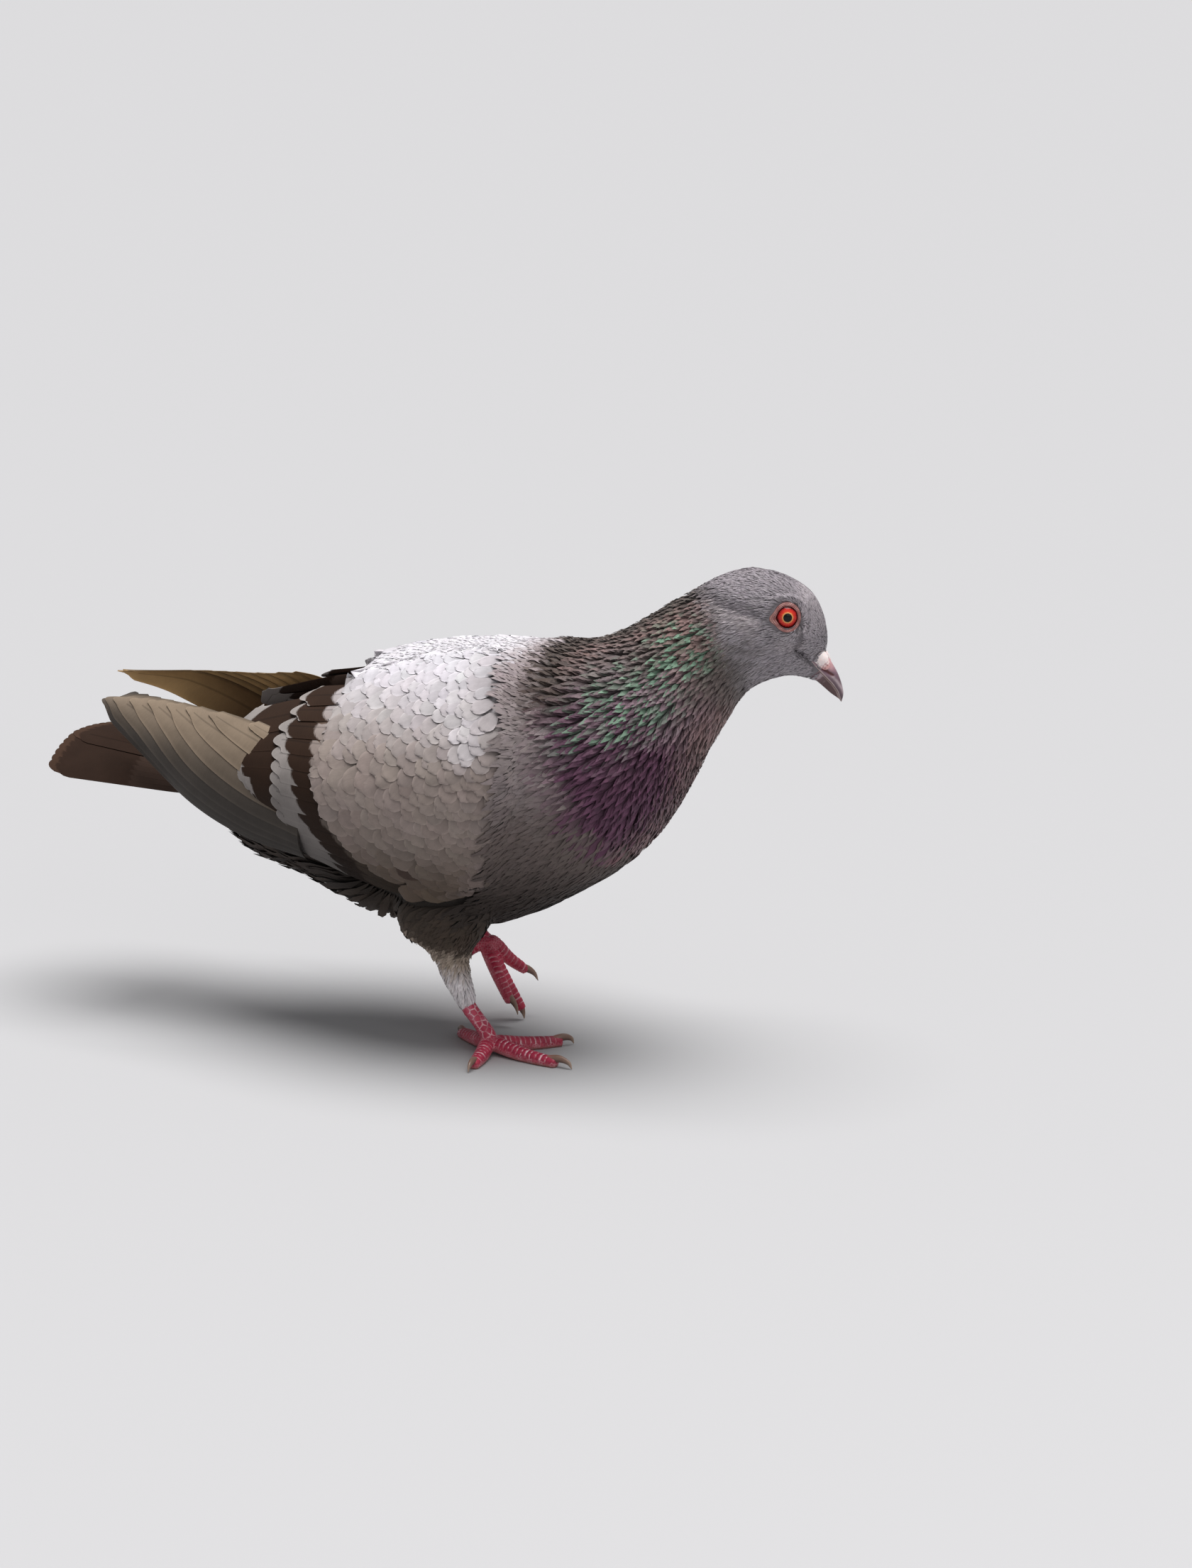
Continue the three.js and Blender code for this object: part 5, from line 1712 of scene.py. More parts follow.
def clumped(place, up, lie, gap, strength, seed):
    """Neighbours drawn to a shared middle line: their new lie, and how near it they are, 0 to 1."""
    spots = place / MM
    middles = sown(spots, gap, np.random.default_rng(seed).permutation(len(place)))
    mine = nearest_of(spots, middles, 1)[0][:, 0]
    beside = np.cross(up, lie)
    offset = ((spots - spots[mine]) * beside).sum(1) / gap
    return unit(lie - beside * (offset * strength)[:, None]), np.clip(1 - (1.7 * offset) ** 2, 0, 1)


# %% [markdown]
# The coat of the body is grown tract by tract: head, neck, breast and belly, back, and legs. Sizes run on
# smoothly from one to the next, so no border shows.


# %% Sizes over the body
def feather_length(p):
    """Millimetres, at straight points."""
    x, z = p[:, 0], p[:, 2]
    long = 13.0 - 4.0 * ease(40, 66, x + 0.3 * (z - 120))
    long -= 4.6 * ease(70, 92, x + 0.35 * (z - 160))
    long -= 1.6 * ease(96, 110, x) + 1.0 * ease(110, 118, x)
    long += 3.0 * ease(-20, -60, x)
    leg = ease(58, 40, z) * ease(10, 0, x) * ease(-62, -50, x)
    long += (5.5 - long) * leg
    long -= 1.5 * ease(34, 22, z) * leg
    return long


def on_wing(p):
    """True where wing feathers hide the skin; the breast's start a little ahead and lap over the edge."""
    return wing_cover(p, ahead=6.0) > 0.5


def eye_gap(p):
    """Distance from the middle of the eye on the side view, far away elsewhere."""
    return np.hypot(p[:, 0] - EYE[0], p[:, 2] - EYE[2]) + 100 * (p[:, 0] < 90)


def bare_gap(place, up):
    """Distance in millimetres to the nearest bare part, unless that lies under the skin."""
    near = np.array([tuple(bare_tree.find_nearest(Vector(q))[0]) for q in place])
    under = ((near - place) * up).sum(1) < -0.45 * MM
    return np.linalg.norm(near - place, axis=1) / MM + 10 * under


def headness(p):
    return p[:, 0] + 0.35 * (p[:, 2] - 160)


# %% The head
def head_tract(p):
    return (headness(p) > 84) & (p[:, 2] > 132) & (eye_gap(p) > 5.3)


place, up, straight = thrown(count=900000, per_length=0.09, least=0.08, keep=head_tract, seed=11)
open_skin = bare_gap(place, up) > 0.3
place, up, straight = place[open_skin], up[open_skin], straight[open_skin]
direction = lie_at(straight)
from_eye = straight - EYE
from_eye[:, 1] = 0
around = unit(from_eye)
inward = np.minimum((direction * around).sum(1), 0) * ease(12, 7, eye_gap(straight))
direction = unit(direction - around * inward[:, None] * 1.15)
pick = np.random.default_rng(12)
lie = strayed(lie_in_frame(straight, up, direction), up, 0.10, pick)
long = feather_length(straight) * pick.uniform(0.85, 1.2, len(place))
long *= 1 - 0.35 * ease(11, 7, eye_gap(straight))
wide = 0.25 + long * 0.11
lift = np.maximum(coat_depth(straight), 0.42) * pick.uniform(0.86, 1.08, len(place))
lean, tint = dressed(straight, long, pick, lean=0.013, off=0.4, spread=0.10, seed=13)
feathers = (place, up, straight, lie, long, wide, lift, lean, tint)
grow("coat_head", *feathers, curl=0.5, patterns=WISP, finish=HEAD_FINISH, thick=0.05)


# %% The neck
def neck_tract(p):
    return (headness(p) <= 85) & (p[:, 0] > breast_line(p) - 2) & (p[:, 2] > 82) & ~on_wing(p)


plan = dict(count=560000, per_length=0.075, least=0.14, keep=neck_tract, seed=21)
place, up, straight, lie, pick = started(**plan)
long = feather_length(straight) * pick.uniform(0.8, 1.15, len(place)) * 0.62
lie, middle = clumped(place, up, lie, 0.36 * long, 0.45, 23)
wide = 0.45 + long * 0.22
lift = coat_depth(straight) * (0.72 + 0.28 * middle) * pick.uniform(0.9, 1.08, len(place))
lean, tint = dressed(straight, long, pick, lean=0.012, off=1.2, spread=0.13, seed=24)
# Feathers at a clump's edges are painted darker, as painted shade in the cracks between clumps.
tint = tint * (0.62 + 0.46 * middle)[:, None]
feathers = (place, up, straight, lie, long, wide, lift, lean, tint)
for part, chosen in (("upper", headness(straight) > 62), ("lower", headness(straight) <= 62)):
    mine = (values[chosen] for values in feathers)
    grow(f"coat_neck_{part}", *mine, curl=0.55, patterns=PLUSH, finish=NECK_FINISH, thick=0.1)


# %% Breast and belly
def belly_tract(p):
    below = (p[:, 2] <= 84) | (p[:, 0] <= breast_line(p) + 1)
    return below & (p[:, 2] < 128) & (p[:, 2] > 40) & ~on_wing(p)


plan = dict(count=260000, per_length=0.05, least=0.6, keep=belly_tract, seed=31)
place, up, straight, lie, pick = started(**plan)
long = feather_length(straight) * pick.uniform(0.85, 1.2, len(place))
lie = strayed(lie, up, 0.05, pick)
wide = 0.5 + long * 0.2
loose = ease(-8, -24, straight[:, 0]) * ease(84, 66, straight[:, 2]) * ease(0.2, -0.4, up[:, 2])
loose *= ease(-112, -80, straight[:, 0]) * ease(44, 56, straight[:, 2])
lift = coat_depth(straight) * pick.uniform(0.96, 1.02, len(place))
lift += loose * pick.uniform(0.5, 5.0, len(place))
long = long * (1 + 0.25 * loose)
lean, tint = dressed(straight, long, pick, lean=0.004, off=1.5, spread=0.03, seed=34)
tint = tint * (1 + 0.35 * loose)[:, None]
feathers = (place, up, straight, lie, long, wide, lift, lean, tint)
for part, chosen in (("front", straight[:, 0] > 20), ("rear", straight[:, 0] <= 20)):
    mine = (values[chosen] for values in feathers)
    grow(f"coat_belly_{part}", *mine, curl=0.45, patterns=PLUSH, finish=BODY_FINISH, thick=0.06)


# %% Back and rump
def back_tract(p):
    beside = np.abs(p[:, 1]) < 16 - 4 * ease(-20, -70, p[:, 0])
    return (p[:, 2] >= 118) & (p[:, 0] <= breast_line(p) + 1) & (beside | (~on_wing(p) & (p[:, 2] > 127)))


plan = dict(count=120000, per_length=0.045, least=0.45, keep=back_tract, seed=41)
place, up, straight, lie, pick = started(**plan)
long = feather_length(straight) * pick.uniform(0.7, 1.0, len(place)) * 0.8
wide = 0.5 + long * 0.22
lift = coat_depth(straight) * pick.uniform(0.78, 0.84, len(place))
lean, tint = dressed(straight, long, pick, lean=0.004, off=1.5, spread=0.04, seed=44, colours=markings)
feathers = (place, up, straight, lie, long, wide, lift, lean, tint)
grow("coat_back", *feathers, curl=0.45, patterns=PLUSH, finish=BODY_FINISH, thick=0.08)


# %% Thighs and garters
def leg_tract(p):
    return (p[:, 2] <= 41) & (p[:, 2] > 13)


plan = dict(count=160000, per_length=0.05, least=0.18, keep=leg_tract, seed=51)
place, up, straight, lie, pick = started(**plan)
long = feather_length(straight) * pick.uniform(0.85, 1.25, len(place))
lie, middle = clumped(place, up, lie, 0.5 * long, 0.2, 53)
wide = 0.4 + long * 0.13
lift = coat_depth(straight) * (0.62 + 0.12 * middle) * pick.uniform(0.93, 1.07, len(place))
lean, tint = dressed(straight, long, pick, lean=0.008, off=1.0, spread=0.04, seed=54)
# Feathers at a clump's edges are painted darker, as painted shade in the cracks between clumps.
tint = tint * (0.92 + 0.08 * middle)[:, None]
feathers = (place, up, straight, lie, long, wide, lift, lean, tint)
grow("coat_legs", *feathers, curl=0.6, patterns=WISP, finish=LEG_FINISH, thick=0.1)

# %% [markdown]
# The small coverts tile the shield of the folded wing, each overlapping the next ones back. They are
# broad, round and smooth. Their roots are thrown on the wing's sheet and kept apart by an oval's width,
# ahead of one even last row whose tips reach the bar. Round the bend of the wing they point down, and
# further back they turn to point at the tail.

# %% Small coverts
WING_ARROWS = np.array([
    (20, 142, 55), (15, 122, 70), (13, 100, 72), (10, 80, 60), (0, 151, 18), (-8, 135, 34),
    (-10, 112, 52), (-8, 88, 52), (-8, 68, 28), (-35, 145, 18), (-35, 122, 26), (-35, 97, 26),
    (-32, 72, 14), (-55, 136, 15), (-58, 110, 10), (-55, 86, 2), (-50, 70, -4),
], float)
BAR_FRONT = np.array([
    (0.0, -70), (0.2, -68), (0.3, -66.5), (0.4, -63), (0.5, -59), (0.6, -55.5), (0.7, -51),
    (0.8, -46.5), (0.9, -37), (1.0, -30),
])


COVERT_LONG, COVERT_WIDE, COVERT_DARTS, LAST_ROW = 15.5, 10.6, 11000, 17


def covert_places(seed):
    """Shares, places, lie and size of the coverts: a last row along the bar, then darts ahead."""
    pick = np.random.default_rng(seed)
    s, v = pick.uniform(0.025, 0.56, COVERT_DARTS), pick.uniform(0.0, 1.0, COVERT_DARTS)
    row_v = np.linspace(0.03, 0.97, LAST_ROW) + pick.normal(0, 0.006, LAST_ROW)
    s, v = np.concatenate([np.full(LAST_ROW, 0.3), s]), np.concatenate([row_v, v])
    right = sheet_point(SHIELD, s, v)
    way = unit(lie_at(right, WING_ARROWS, 12.0))
    size = 0.62 + 0.38 * ease(0.1, 0.45, s) + 0.25 * ease(0.6, 0.9, v) * ease(0.1, 0.3, s)
    size += pick.uniform(-0.05, 0.05, len(s))
    room = COVERT_LONG * size * np.abs(way[:, 0]) + pick.uniform(-0.8, 0.8, len(s))
    limit = np.interp(v, BAR_FRONT[:, 0], BAR_FRONT[:, 1])
    shares = np.linspace(0, 0.7, 200)
    for k in range(LAST_ROW):
        line = sheet_point(SHIELD, shares, np.full(len(shares), v[k]))[:, 0]
        s[k] = np.interp(-(limit[k] + room[k]), -line, shares)
    right = sheet_point(SHIELD, s, v)
    chosen = list(range(LAST_ROW))
    for k in range(LAST_ROW, len(s)):
        front = np.interp(right[k, 2], WING_FRONT[:, 1], WING_FRONT[:, 0]) + 2
        if right[k, 0] - room[k] < limit[k] + 3.0 or right[k, 0] > front:
            continue
        gap = right[chosen] - right[k]
        ahead = gap @ way[k]
        beside = np.sqrt(np.maximum((gap**2).sum(1) - ahead**2, 0))
        if ((ahead / (4.0 * size[k])) ** 2 + (beside / (5.6 * size[k])) ** 2).min() > 1:
            chosen.append(k)
    return s[chosen], right[chosen], way[chosen], size[chosen]


def small_coverts(side, seed):
    """One wing's small coverts, paler at the bend and greyer along the breast."""
    pick = np.random.default_rng(seed + 10)
    s, right, way, size = covert_places(seed)
    found = [skin_tree.find_nearest(Vector(q)) for q in to_frame(on_side(right, side))]
    place = np.array([tuple(f[0]) for f in found])
    normals = np.array([tuple(skin.data.polygons[f[2]].normal) for f in found])
    straight = to_bird(place)
    lie = lie_in_frame(straight, normals, on_side(way, side, direction=True))
    lie = strayed(lie, normals, 0.12, pick)
    long, wide = COVERT_LONG * size, COVERT_WIDE * size * pick.uniform(0.95, 1.1, len(s))
    lift = 1.4 + 0.7 * ease(0.0, 0.12, s) + 0.35 * s + 0.6 * ease(0.3, 0.5, s)
    lift += pick.uniform(-0.06, 0.06, len(s))
    lean = pick.normal(0, 0.05, len(s))
    white = spot(right, 8, 131, 9, 11)
    dark = spot(right, -15.5, 77, 3.5, 3.5)
    tint = layer(shield_colour(straight), BEND_WHITE, 0.5 * white)
    tint = layer(tint, SPOT_BROWN, 1.5 * dark)
    to_front = right[:, 0] - np.interp(right[:, 2], WING_FRONT[:, 1], WING_FRONT[:, 0])
    like_breast = 0.35 + 0.4 * ease(116, 100, right[:, 2])
    tint = layer(tint, BREAST_GREY * 1.5, ease(-11, 1, to_front) * like_breast)
    tint = speckled(tint, 0.05, seed + 1)
    feathers = (place, normals, straight, lie, long, wide, lift, lean, tint)
    grow(f"coverts_{side}", *feathers, curl=0.42, patterns=COVERT, finish=COVERT_FINISH, thick=0.16)


for number, side in enumerate(SIDES):
    small_coverts(side, 61 + number)

# %% [markdown]
# Long feathers are too few and too particular for a scatter. Each is a strip on its sheet: a middle line,
# a half width along it, a round tip, and a height that lets the upper feather's edge lie over its
# neighbour. A corner also knows its distance from the tip, so a finish can lay the wing's bars across the
# strips.


# %% Strips on a sheet
def sheet_of(stations, side, blade=False):
    """A side's sheet as a function of two shares, giving places and outward normals."""

    def surface(s, v):
        shape = np.shape(s)
        s, v = np.ravel(s), np.ravel(v)
        p = on_side(sheet_point(stations, s, v), side, blade=blade)
        n = on_side(sheet_normal(stations, s, v), side, direction=True, blade=blade)
        return p.reshape(*shape, 3), n.reshape(*shape, 3)

    return surface


def strip(surface, s, v, half, lift, tilt, roundness, thick, columns=9, camber=0.3):
    """Corners (top then underside) of one long feather, and its along, across and mm from the tip."""
    s, v, half, lift = (np.asarray(q, float) for q in (s, v, half, lift))
    middle, _ = surface(s, v)
    per_v = np.linalg.norm(surface(s, v + 0.01)[0] - surface(s, v - 0.01)[0], axis=1) / 0.02
    per_s = np.linalg.norm(surface(s + 0.005, v)[0] - surface(s - 0.005, v)[0], axis=1) / 0.01
    across = np.linspace(-1, 1, columns)[None, :]
    run = np.concatenate([[0], np.cumsum(np.linalg.norm(np.diff(middle, axis=0), axis=1))])
    share = (run / run[-1])[:, None]
    near_tip = ease(1 - 1.6 * half.max() / run[-1], 1, share) ** 1.5
    rounding = roundness * half.max() * np.abs(across) ** 2.2
    back_by = rounding * near_tip / per_s[:, None]
    grid_s = s[:, None] - back_by * np.sign(s[-1] - s[0])
    grid_v = v[:, None] + across * (half / per_v)[:, None]
    places, normals = surface(grid_s, grid_v)
    height = lift[:, None] + tilt * across + camber * (1 - across**2)
    top = places + normals * height[:, :, None]
    low = places + normals * (height - thick * (0.35 + 0.65 * (1 - across**2)))[:, :, None]
    from_tip = run[-1] - (run[:, None] - back_by * per_s[:, None]) - rounding
    from_tip = np.maximum(from_tip, 0) + 0 * top[:, :, 0]
    return top, low, share + 0 * across, across + 0 * share, from_tip


# %% One mesh of long feathers
class Quills:
    """Long feathers gathered into one mesh."""

    def __init__(self, name, mirrored):
        self.name, self.mirrored = name, mirrored
        self.places, self.faces, self.facts = [], [], []
        self.start, self.count = 0, 0

    def add(self, made, tint, bands=(0.0, 0.0), under=None):
        """One strip with its tint, its bands (mm) and, if it differs, its underside's tint."""
        top, low, along, across, from_tip = made
        rows, columns = along.shape
        size = rows * columns
        index = np.arange(size).reshape(rows, columns) + self.start
        a, b, c, d = index[:-1, :-1], index[1:, :-1], index[1:, 1:], index[:-1, 1:]
        upper = np.stack([a, b, c, d], -1).reshape(-1, 4)
        lower = np.stack([d, c, b, a], -1).reshape(-1, 4) + size
        loop = np.concatenate([index[:, 0], index[-1, 1:], index[-2::-1, -1], index[0, -2:0:-1]])
        after = np.roll(loop, -1)
        wall = np.stack([after, loop, loop + size, after + size], -1)
        faces = np.concatenate([upper, lower, wall])
        self.faces.append(faces if self.mirrored else faces[:, ::-1])
        self.places += [top.reshape(-1, 3), low.reshape(-1, 3)]
        fact = np.stack([along.ravel(), across.ravel(), from_tip.ravel(), np.full(size, self.count)], 1)
        for colour in (tint, tint if under is None else under):
            colour = np.broadcast_to(colour, (rows, columns, 3)).reshape(-1, 3)
            self.facts.append(np.concatenate([fact, colour, np.tile(bands, (size, 1))], 1))
        self.start += 2 * size
        self.count += 1

    def finish(self, material, slot, *replaced):
        """The strips so far, as one object."""
        places = to_frame(np.concatenate(self.places))
        faces, facts = np.concatenate(self.faces), np.concatenate(self.facts)
        mesh = bpy.data.meshes.new(self.name)
        mesh.from_pydata(places.tolist(), [], faces.tolist())
        smooth_shaded(mesh)
        paint_points(mesh, facts[:, 4:7])
        for title, column in (("along", 0), ("across", 1), ("band", [2, 7, 8])):
            store(mesh, title, facts[:, column])
        store(mesh, "own", 7.3 * facts[:, 3])
        corners = np.empty(len(mesh.loops), np.int32)
        mesh.loops.foreach_get("vertex_index", corners)
        beside = facts[:, 3] + 0.5 + 0.46 * facts[:, 1]
        spots = np.stack([0.01 + 0.98 * facts[:, 0], beside / self.count], 1)
        layer_of = mesh.uv_layers.new(name="OFBake")
        layer_of.data.foreach_set("uv", spots[corners].astype(np.float32).ravel())
        mesh.set_sharp_from_angle(angle=math.radians(50))
        mesh.materials.append(material)
        thing = new_object(self.name, mesh)
        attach(thing, "root")
        if replaced:
            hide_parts(*replaced)
        mesh.calc_loop_triangles()
        print(self.name, self.count, "feathers,", len(mesh.loop_triangles), "triangles")
        return thing


# %% [markdown]
# A flight feather's vane is closed and smooth: fine straight barbs slant out from a dark shaft. The bars
# of the wing are bands across each feather, measured back from its tip, so they step from feather to
# feather.


# %% Flight feather finish
def flight_finish(name, pale, dark, edge_light, rough, shine):
    """A material that lays a pale and a dark band over the tint, by distance from the feather's tip."""
    paint, tree, shader = new_finish(name)
    tint = fact_of(tree, "tint", "Color")
    from_tip, pale_to, dark_for = parted(tree, fact_of(tree, "band", "Vector"))
    along, across, own = (fact_of(tree, title) for title in ("along", "across", "own"))
    side = sum_of(tree, "ABSOLUTE", across)
    slope = times_plus(tree, from_tip, 2.2, times(tree, side, 9.0))
    barb = noise_of(tree, combined(tree, X=slope, Y=side, Z=own), 1.0, 3.0, 0.7)
    place = own_place(tree)
    cloud = noise_of(tree, place, 90.0)
    ragged = times_plus(tree, centred(tree, barb), 3.0, from_tip)
    start = sum_of(tree, "SUBTRACT", ragged, pale_to)
    in_dark = ranged(tree, start, -0.5, 0.5)
    beyond = ranged(tree, sum_of(tree, "SUBTRACT", start, dark_for), -0.7, 0.7)
    has_band = sum_of(tree, "GREATER_THAN", dark_for, 0.1)

    def mixed(amount, a, b):
        """Two colours, mixed by an amount."""
        return new_node(tree, "ShaderNodeMix", {"data_type": "RGBA"}, i0=amount, i6=a, i7=b).outputs[2]

    colour = mixed(has_band, tint, mixed(beyond, mixed(in_dark, (*pale, 1), (*dark, 1)), tint))
    light = times_plus(tree, barb, 0.22, 0.89)
    light = times_plus(tree, centred(tree, cloud), 0.55, light)
    brink = sum_of(tree, "MAXIMUM", ranged(tree, side, 0.86, 1.0), ranged(tree, from_tip, 0.9, 0.2))
    light = times_plus(tree, brink, edge_light, light)
    shaft = ranged(tree, side, 0.03, 0.09, -0.3, 0.0)
    light = sum_of(tree, "ADD", light, times(tree, shaft, sum_of(tree, "LESS_THAN", along, 0.93)))
    # Painted shade: feathers lower down are darker, from full light at 122 mm down to 0.42 at 66 mm.
    height = parted(tree, place)[2]
    light = times(tree, light, ranged(tree, height, 0.066, 0.122, 0.42, 1.0))
    feed(
        tree, shader, Base_Color=scaled(tree, colour, light), Normal=bump_of(tree, barb, 0.25, 0.0004),
        Roughness=times_plus(tree, barb, 0.2, rough - 0.1), Specular_IOR_Level=shine,
    )
    return paint


# Each row: name, pale band, dark band, light of the edge, roughness and shine.
WING_FINISH = flight_finish("wing_feathers", shade(140, 134, 131), shade(46, 31, 22), 0.12, 0.66, 0.12)
TAIL_FINISH = flight_finish("tail_feathers", shade(70, 52, 42), shade(50, 36, 29), 0.05, 0.8, 0.05)

# %% [markdown]
# Thirteen greater coverts make the front bar: each is whitish at the base, then dark brown, then pale
# grey at its round tip. Under them lie eleven secondaries with the rear bar; the upper four are broader,
# as tertials. Each table gives a value by how far down the wing a feather's tip lies: where the tip is,
# and how long its pale and dark bands are.

# %% Greater coverts and secondaries
GREATER_TIP = np.array([
    (0.0, 0.66), (0.06, 0.70), (0.2, 0.72), (0.35, 0.71), (0.5, 0.685), (0.7, 0.67), (1.0, 0.64),
])
GREATER_PALE = np.array([(0.0, 2.5), (0.18, 3.5), (0.3, 7.0), (0.5, 12.0), (0.7, 15.0), (1.0, 20.0)])
GREATER_DARK = np.array([(0.0, 13.0), (0.2, 14.0), (0.4, 11.5), (0.7, 10.5), (1.0, 12.0)])
SECOND_TIP = np.array([
    (0.0, 1.0), (0.2, 0.98), (0.3, 0.955), (0.385, 0.92), (0.485, 0.865), (0.55, 0.81), (0.6, 0.775),
    (0.9, 0.76), (1.0, 0.72),
])
SECOND_PALE = np.array([(0.0, 9.0), (0.2, 9.0), (0.5, 8.5), (0.56, 4.0), (0.62, 1.0), (1.0, 0.8)])
SECOND_DARK = np.array([(0.0, 22.0), (0.2, 24.0), (0.56, 20.0), (0.62, 14.0), (1.0, 10.0)])


VANE_TILT, VANE_THICK = 0.42, 0.35
SECOND_ROOT, GREATER_ROOT = 0.44, 0.33
SECONDARIES = [0.965, 0.885, 0.80, 0.72, 0.645, 0.57, 0.50, 0.42, 0.33, 0.23, 0.12]
SECOND_BROWN, TERTIAL_BROWN = shades((96, 88, 82), (92, 76, 66))


def read(table, v):
    return float(np.interp(v, table[:, 0], table[:, 1]))


def vane_width(share, widest):
    """Half width along a long feather: slim at the root, full for most of it, drawn in at the tip."""
    return widest * (0.55 + 0.45 * ease(0, 0.35, share)) * (1 - 0.42 * ease(0.86, 1.0, share))


def secondary_feathers(side, seed):
    """One wing's secondaries, from the lowest to the tertials."""
    pick = np.random.default_rng(seed)
    surface = sheet_of(SHIELD, side)
    quills = Quills(f"secondaries_{side}", side == "left")
    for k, v_tip in enumerate(SECONDARIES):
        v_tip += pick.normal(0, 0.006)
        tip = read(SECOND_TIP, v_tip)
        share = np.linspace(0, 1, 34) ** 0.85
        s = SECOND_ROOT + (tip - SECOND_ROOT) * share
        v = v_tip + 0.03 - 0.03 * share
        half = vane_width(share, 7.4 if v_tip > 0.45 else 9.0)
        lift = -2.4 + 1.5 * share**0.6 + 0.06 * k
        made = strip(surface, s, v, half, lift, tilt=VANE_TILT, roundness=0.55, thick=VANE_THICK)
        tint = TERTIAL_BROWN if v_tip < 0.3 else SECOND_BROWN
        quills.add(made, tint, (read(SECOND_PALE, v_tip), read(SECOND_DARK, v_tip)))
    quills.finish(WING_FINISH, "flight_feathers", f"wing_{side}_secondaries")


def greater_coverts(side, seed):
    """One wing's greater coverts, from the lowest up."""
    pick = np.random.default_rng(seed)
    surface = sheet_of(SHIELD, side)
    quills = Quills(f"greater_coverts_{side}", side == "left")
    for k, v_tip in enumerate(np.linspace(0.97, 0.06, 13)):
        v_tip += pick.normal(0, 0.004)
        tip = read(GREATER_TIP, v_tip) + pick.normal(0, 0.003)
        share = np.linspace(0, 1, 30)
        s = GREATER_ROOT + (tip - GREATER_ROOT) * share
        v = v_tip + 0.05 - 0.05 * share
        half = vane_width(share, 6.0)
        lift = -3.2 + 3.1 * share**0.9 + 0.03 * k
        made = strip(surface, s, v, half, lift, tilt=VANE_TILT, roundness=0.75, thick=VANE_THICK)
        tint = shield_colour(made[0].reshape(-1, 3)).reshape(*made[2].shape, 3)
        pale_to = read(GREATER_PALE, v_tip) * pick.uniform(0.9, 1.1)
        quills.add(made, tint, (pale_to, read(GREATER_DARK, v_tip)))
    quills.finish(WING_FINISH, "covert_feathers")


for number, side in enumerate(SIDES):
    secondary_feathers(side, 71 + number)
    greater_coverts(side, 73 + number)

# %% [markdown]
# The primaries fold like a fan behind the secondaries. The inner ones lie on top and end along the upper
# edge, one after another; the outer ones run on to the wing tip and show as narrow strips above the lower
# edge.

# %% Primaries
PRIMARY_INSETS = (54.0, 46.0, 38.5, 31.5, 25.0, 19.0, 13.5, 8.5, 4.2, 0.0)
PRIMARY_WIDE, PRIMARY_THICK = 17.0, 0.5
TOP_DARK, TOP_LIGHT, UNDER_DARK, UNDER_LIGHT = shades(
    (76, 71, 67), (128, 113, 97), (98, 74, 50), (206, 170, 120),
)


def primary_feathers(side, seed):
    """Each primary's lower edge keeps its own distance from the wing's, until it runs out at the top."""
    pick = np.random.default_rng(seed)
    surface = sheet_of(BLADES[side], side, blade=True)
    quills = Quills(f"primaries_{side}", side == "left")
    trail = np.linspace(0, 1, 201)
    fan = np.stack([surface(trail, np.full(201, v))[0] for v in np.linspace(0, 1, 31)])
    depth = np.linalg.norm(np.diff(fan, axis=0), axis=2).sum(0)
    count = len(PRIMARY_INSETS)
    for k in reversed(range(count)):
        inset = PRIMARY_INSETS[k]
        share = np.linspace(0, 1, 44)
        tip = float(np.interp(-(inset + 4.5), -depth, trail)) if inset > 5 else 1.0 - 0.01 * inset / 4
        s = tip * share
        local = np.interp(s, trail, depth)
        low = 1 - inset / local
        at_end = ease(0.9, 1.0, share)
        low = low - 0.35 * (k == count - 1) * at_end - 0.15 * (k == count - 2) * at_end
        width = np.minimum(PRIMARY_WIDE, local * low)
        half = width / 2 * (1 - 0.25 * ease(0.93, 1.0, share))
        v = low - half / local
        lift = -2.1 + 1.2 * ease(0.1, 0.6, s) + 0.16 * (count - k)
        roundness = 0.15 + 0.65 * half[-1] / half.max()
        made = strip(surface, s, v, half, lift, tilt=VANE_TILT, roundness=roundness, thick=PRIMARY_THICK)
        # One edge is painted paler; the other darker, as painted shadow where the next feather overlaps it.
        pale_edge_and_shadow = 1 + ease(0.72, 0.98, made[3]) * 0.22 - ease(-0.78, -0.96, made[3]) * 0.5
        pale_edge_and_shadow = pale_edge_and_shadow[..., None] * pick.uniform(0.94, 1.06)
        top_light, under_light = ease(0.55, 0.1, v)[:, None, None], ease(0.8, 0.3, v)[:, None, None]
        tint = TOP_DARK + (TOP_LIGHT - TOP_DARK) * top_light
        warm = UNDER_DARK + (UNDER_LIGHT - UNDER_DARK) * under_light
        quills.add(made, tint * pale_edge_and_shadow, under=(warm if side == "left" else tint) * pale_edge_and_shadow)
    quills.finish(WING_FINISH, "flight_feathers", f"wing_{side}_primaries")


for number, side in enumerate(SIDES):
    primary_feathers(side, 81 + number)

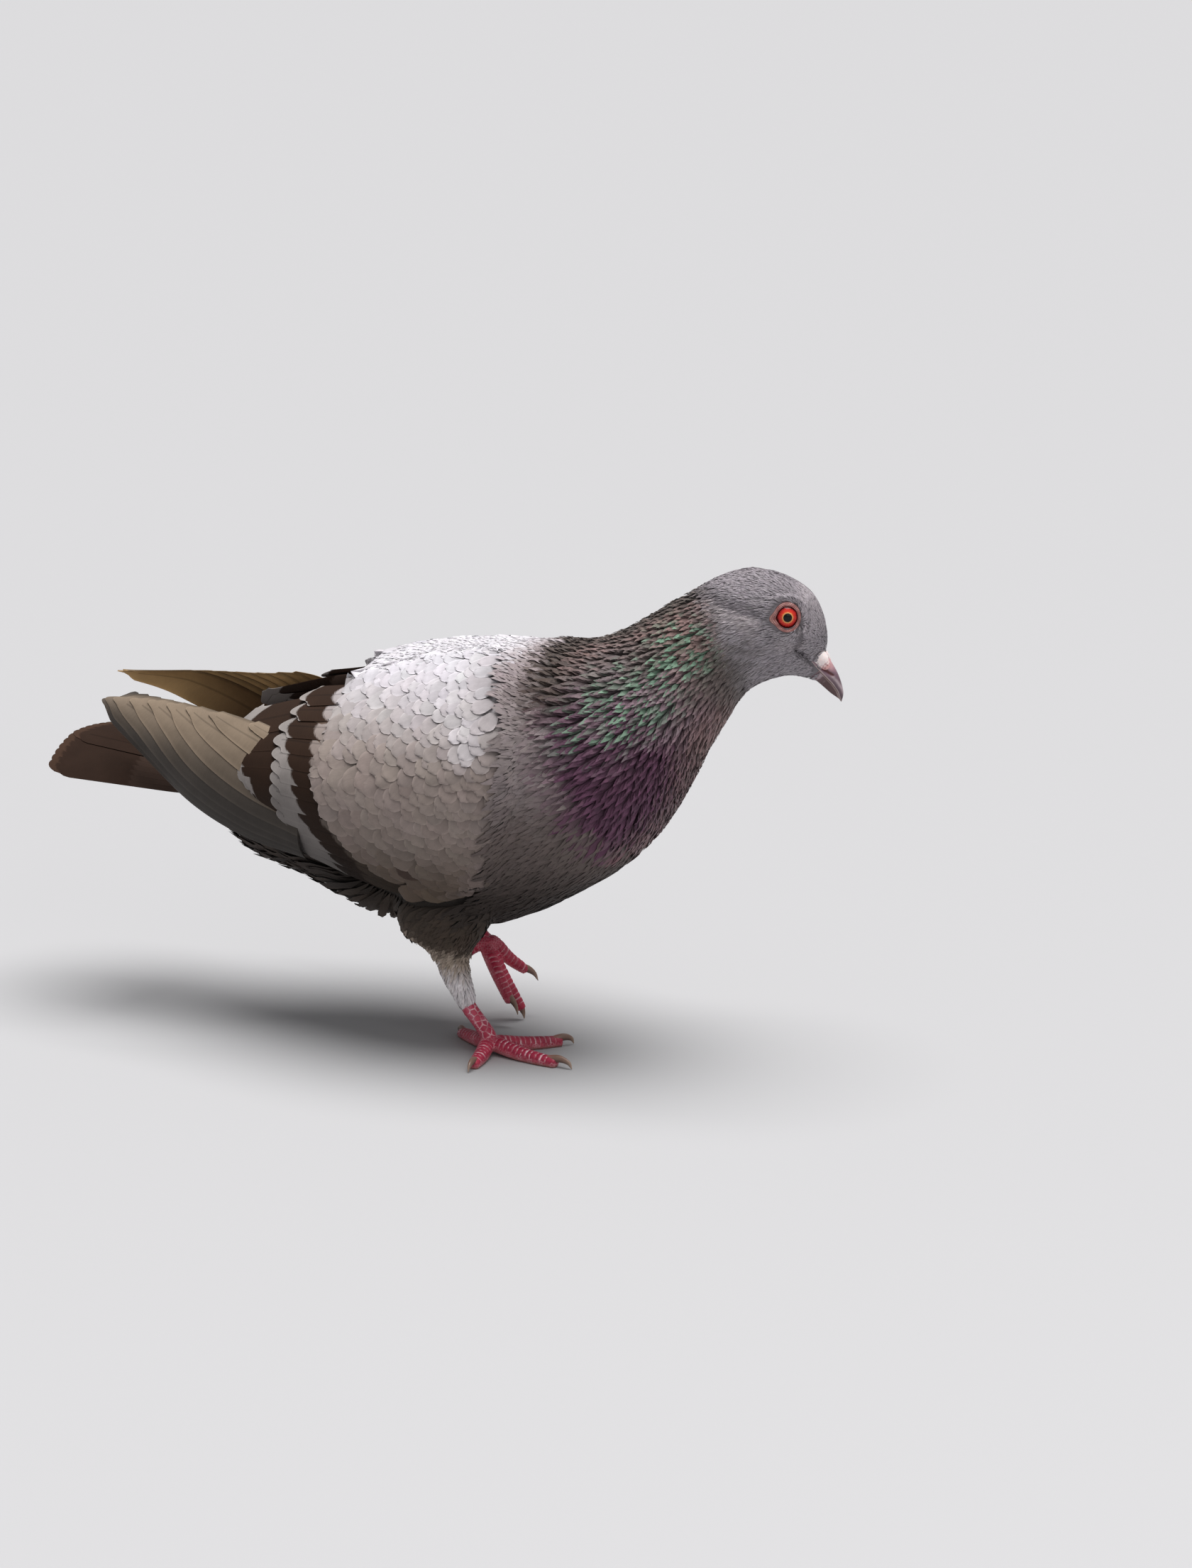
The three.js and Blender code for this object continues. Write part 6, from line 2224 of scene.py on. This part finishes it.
# %% [markdown]
# Twelve tail feathers lie stacked in a narrow fan that arches a little and leans to one side. The middle
# pair is on top.

# %% Tail
TAIL_ROOT, TAIL_LONG = np.array([-92.0, 0, 89.5]), 103.0
TAIL_RISE, TAIL_ROLL = math.radians(5.5), math.radians(9)
TAIL_HALF, TAIL_SPREAD, TAIL_ARCH, TAIL_COUNT = 9.0, math.radians(11.5), 2.5, 12


def tail_surface(t, u):
    """The middle sheet of the fan: t from root to tip, u from one side to the other."""

    def place(t, u):
        angle, out = u * TAIL_SPREAD, t * TAIL_LONG * (1 - 0.02 * u * u)
        side = u * TAIL_HALF * (1 - 0.35 * t) + out * np.sin(angle)
        arch = -TAIL_ARCH * u * u * (0.4 + 0.6 * t)
        x = TAIL_ROOT[0] - out * np.cos(angle) * math.cos(TAIL_RISE)
        z = TAIL_ROOT[2] + out * math.sin(TAIL_RISE) + arch + side * math.sin(TAIL_ROLL)
        return np.stack([x, side, z], -1)

    dt = place(t + 0.004, u) - place(t - 0.004, u)
    du = place(t, u + 0.004) - place(t, u - 0.004)
    return place(t, u), unit(np.cross(du, dt))


TAIL_BROWN, TAIL_BANDS = shade(66, 51, 44), (3.0, 30.0)
quills = Quills("tail_feathers", True)
order = sorted(range(TAIL_COUNT), key=lambda k: -abs(k - (TAIL_COUNT - 1) / 2))
for layer_number, k in enumerate(order):
    u_tip = (k - (TAIL_COUNT - 1) / 2) / (TAIL_COUNT / 2)
    share = np.linspace(0, 1, 30)
    half = 7.6 * (0.5 + 0.5 * ease(0, 0.5, share)) * (1 - 0.35 * ease(0.9, 1.0, share))
    t = 0.02 + 0.975 * share
    lift = np.full(len(t), -0.9 + 0.16 * layer_number)
    tilt = -0.25 * np.sign(u_tip)
    u = np.full(len(t), u_tip * 0.93)
    made = strip(tail_surface, t, u, half, lift, tilt=tilt, roundness=0.45, thick=0.3)
    # Outer feathers, which lie under the others, are painted darker as painted shade.
    quills.add(made, TAIL_BROWN * (0.75 + 0.25 * (1 - abs(u_tip))), TAIL_BANDS)
quills.finish(TAIL_FINISH, "tail_feathers", "tail")
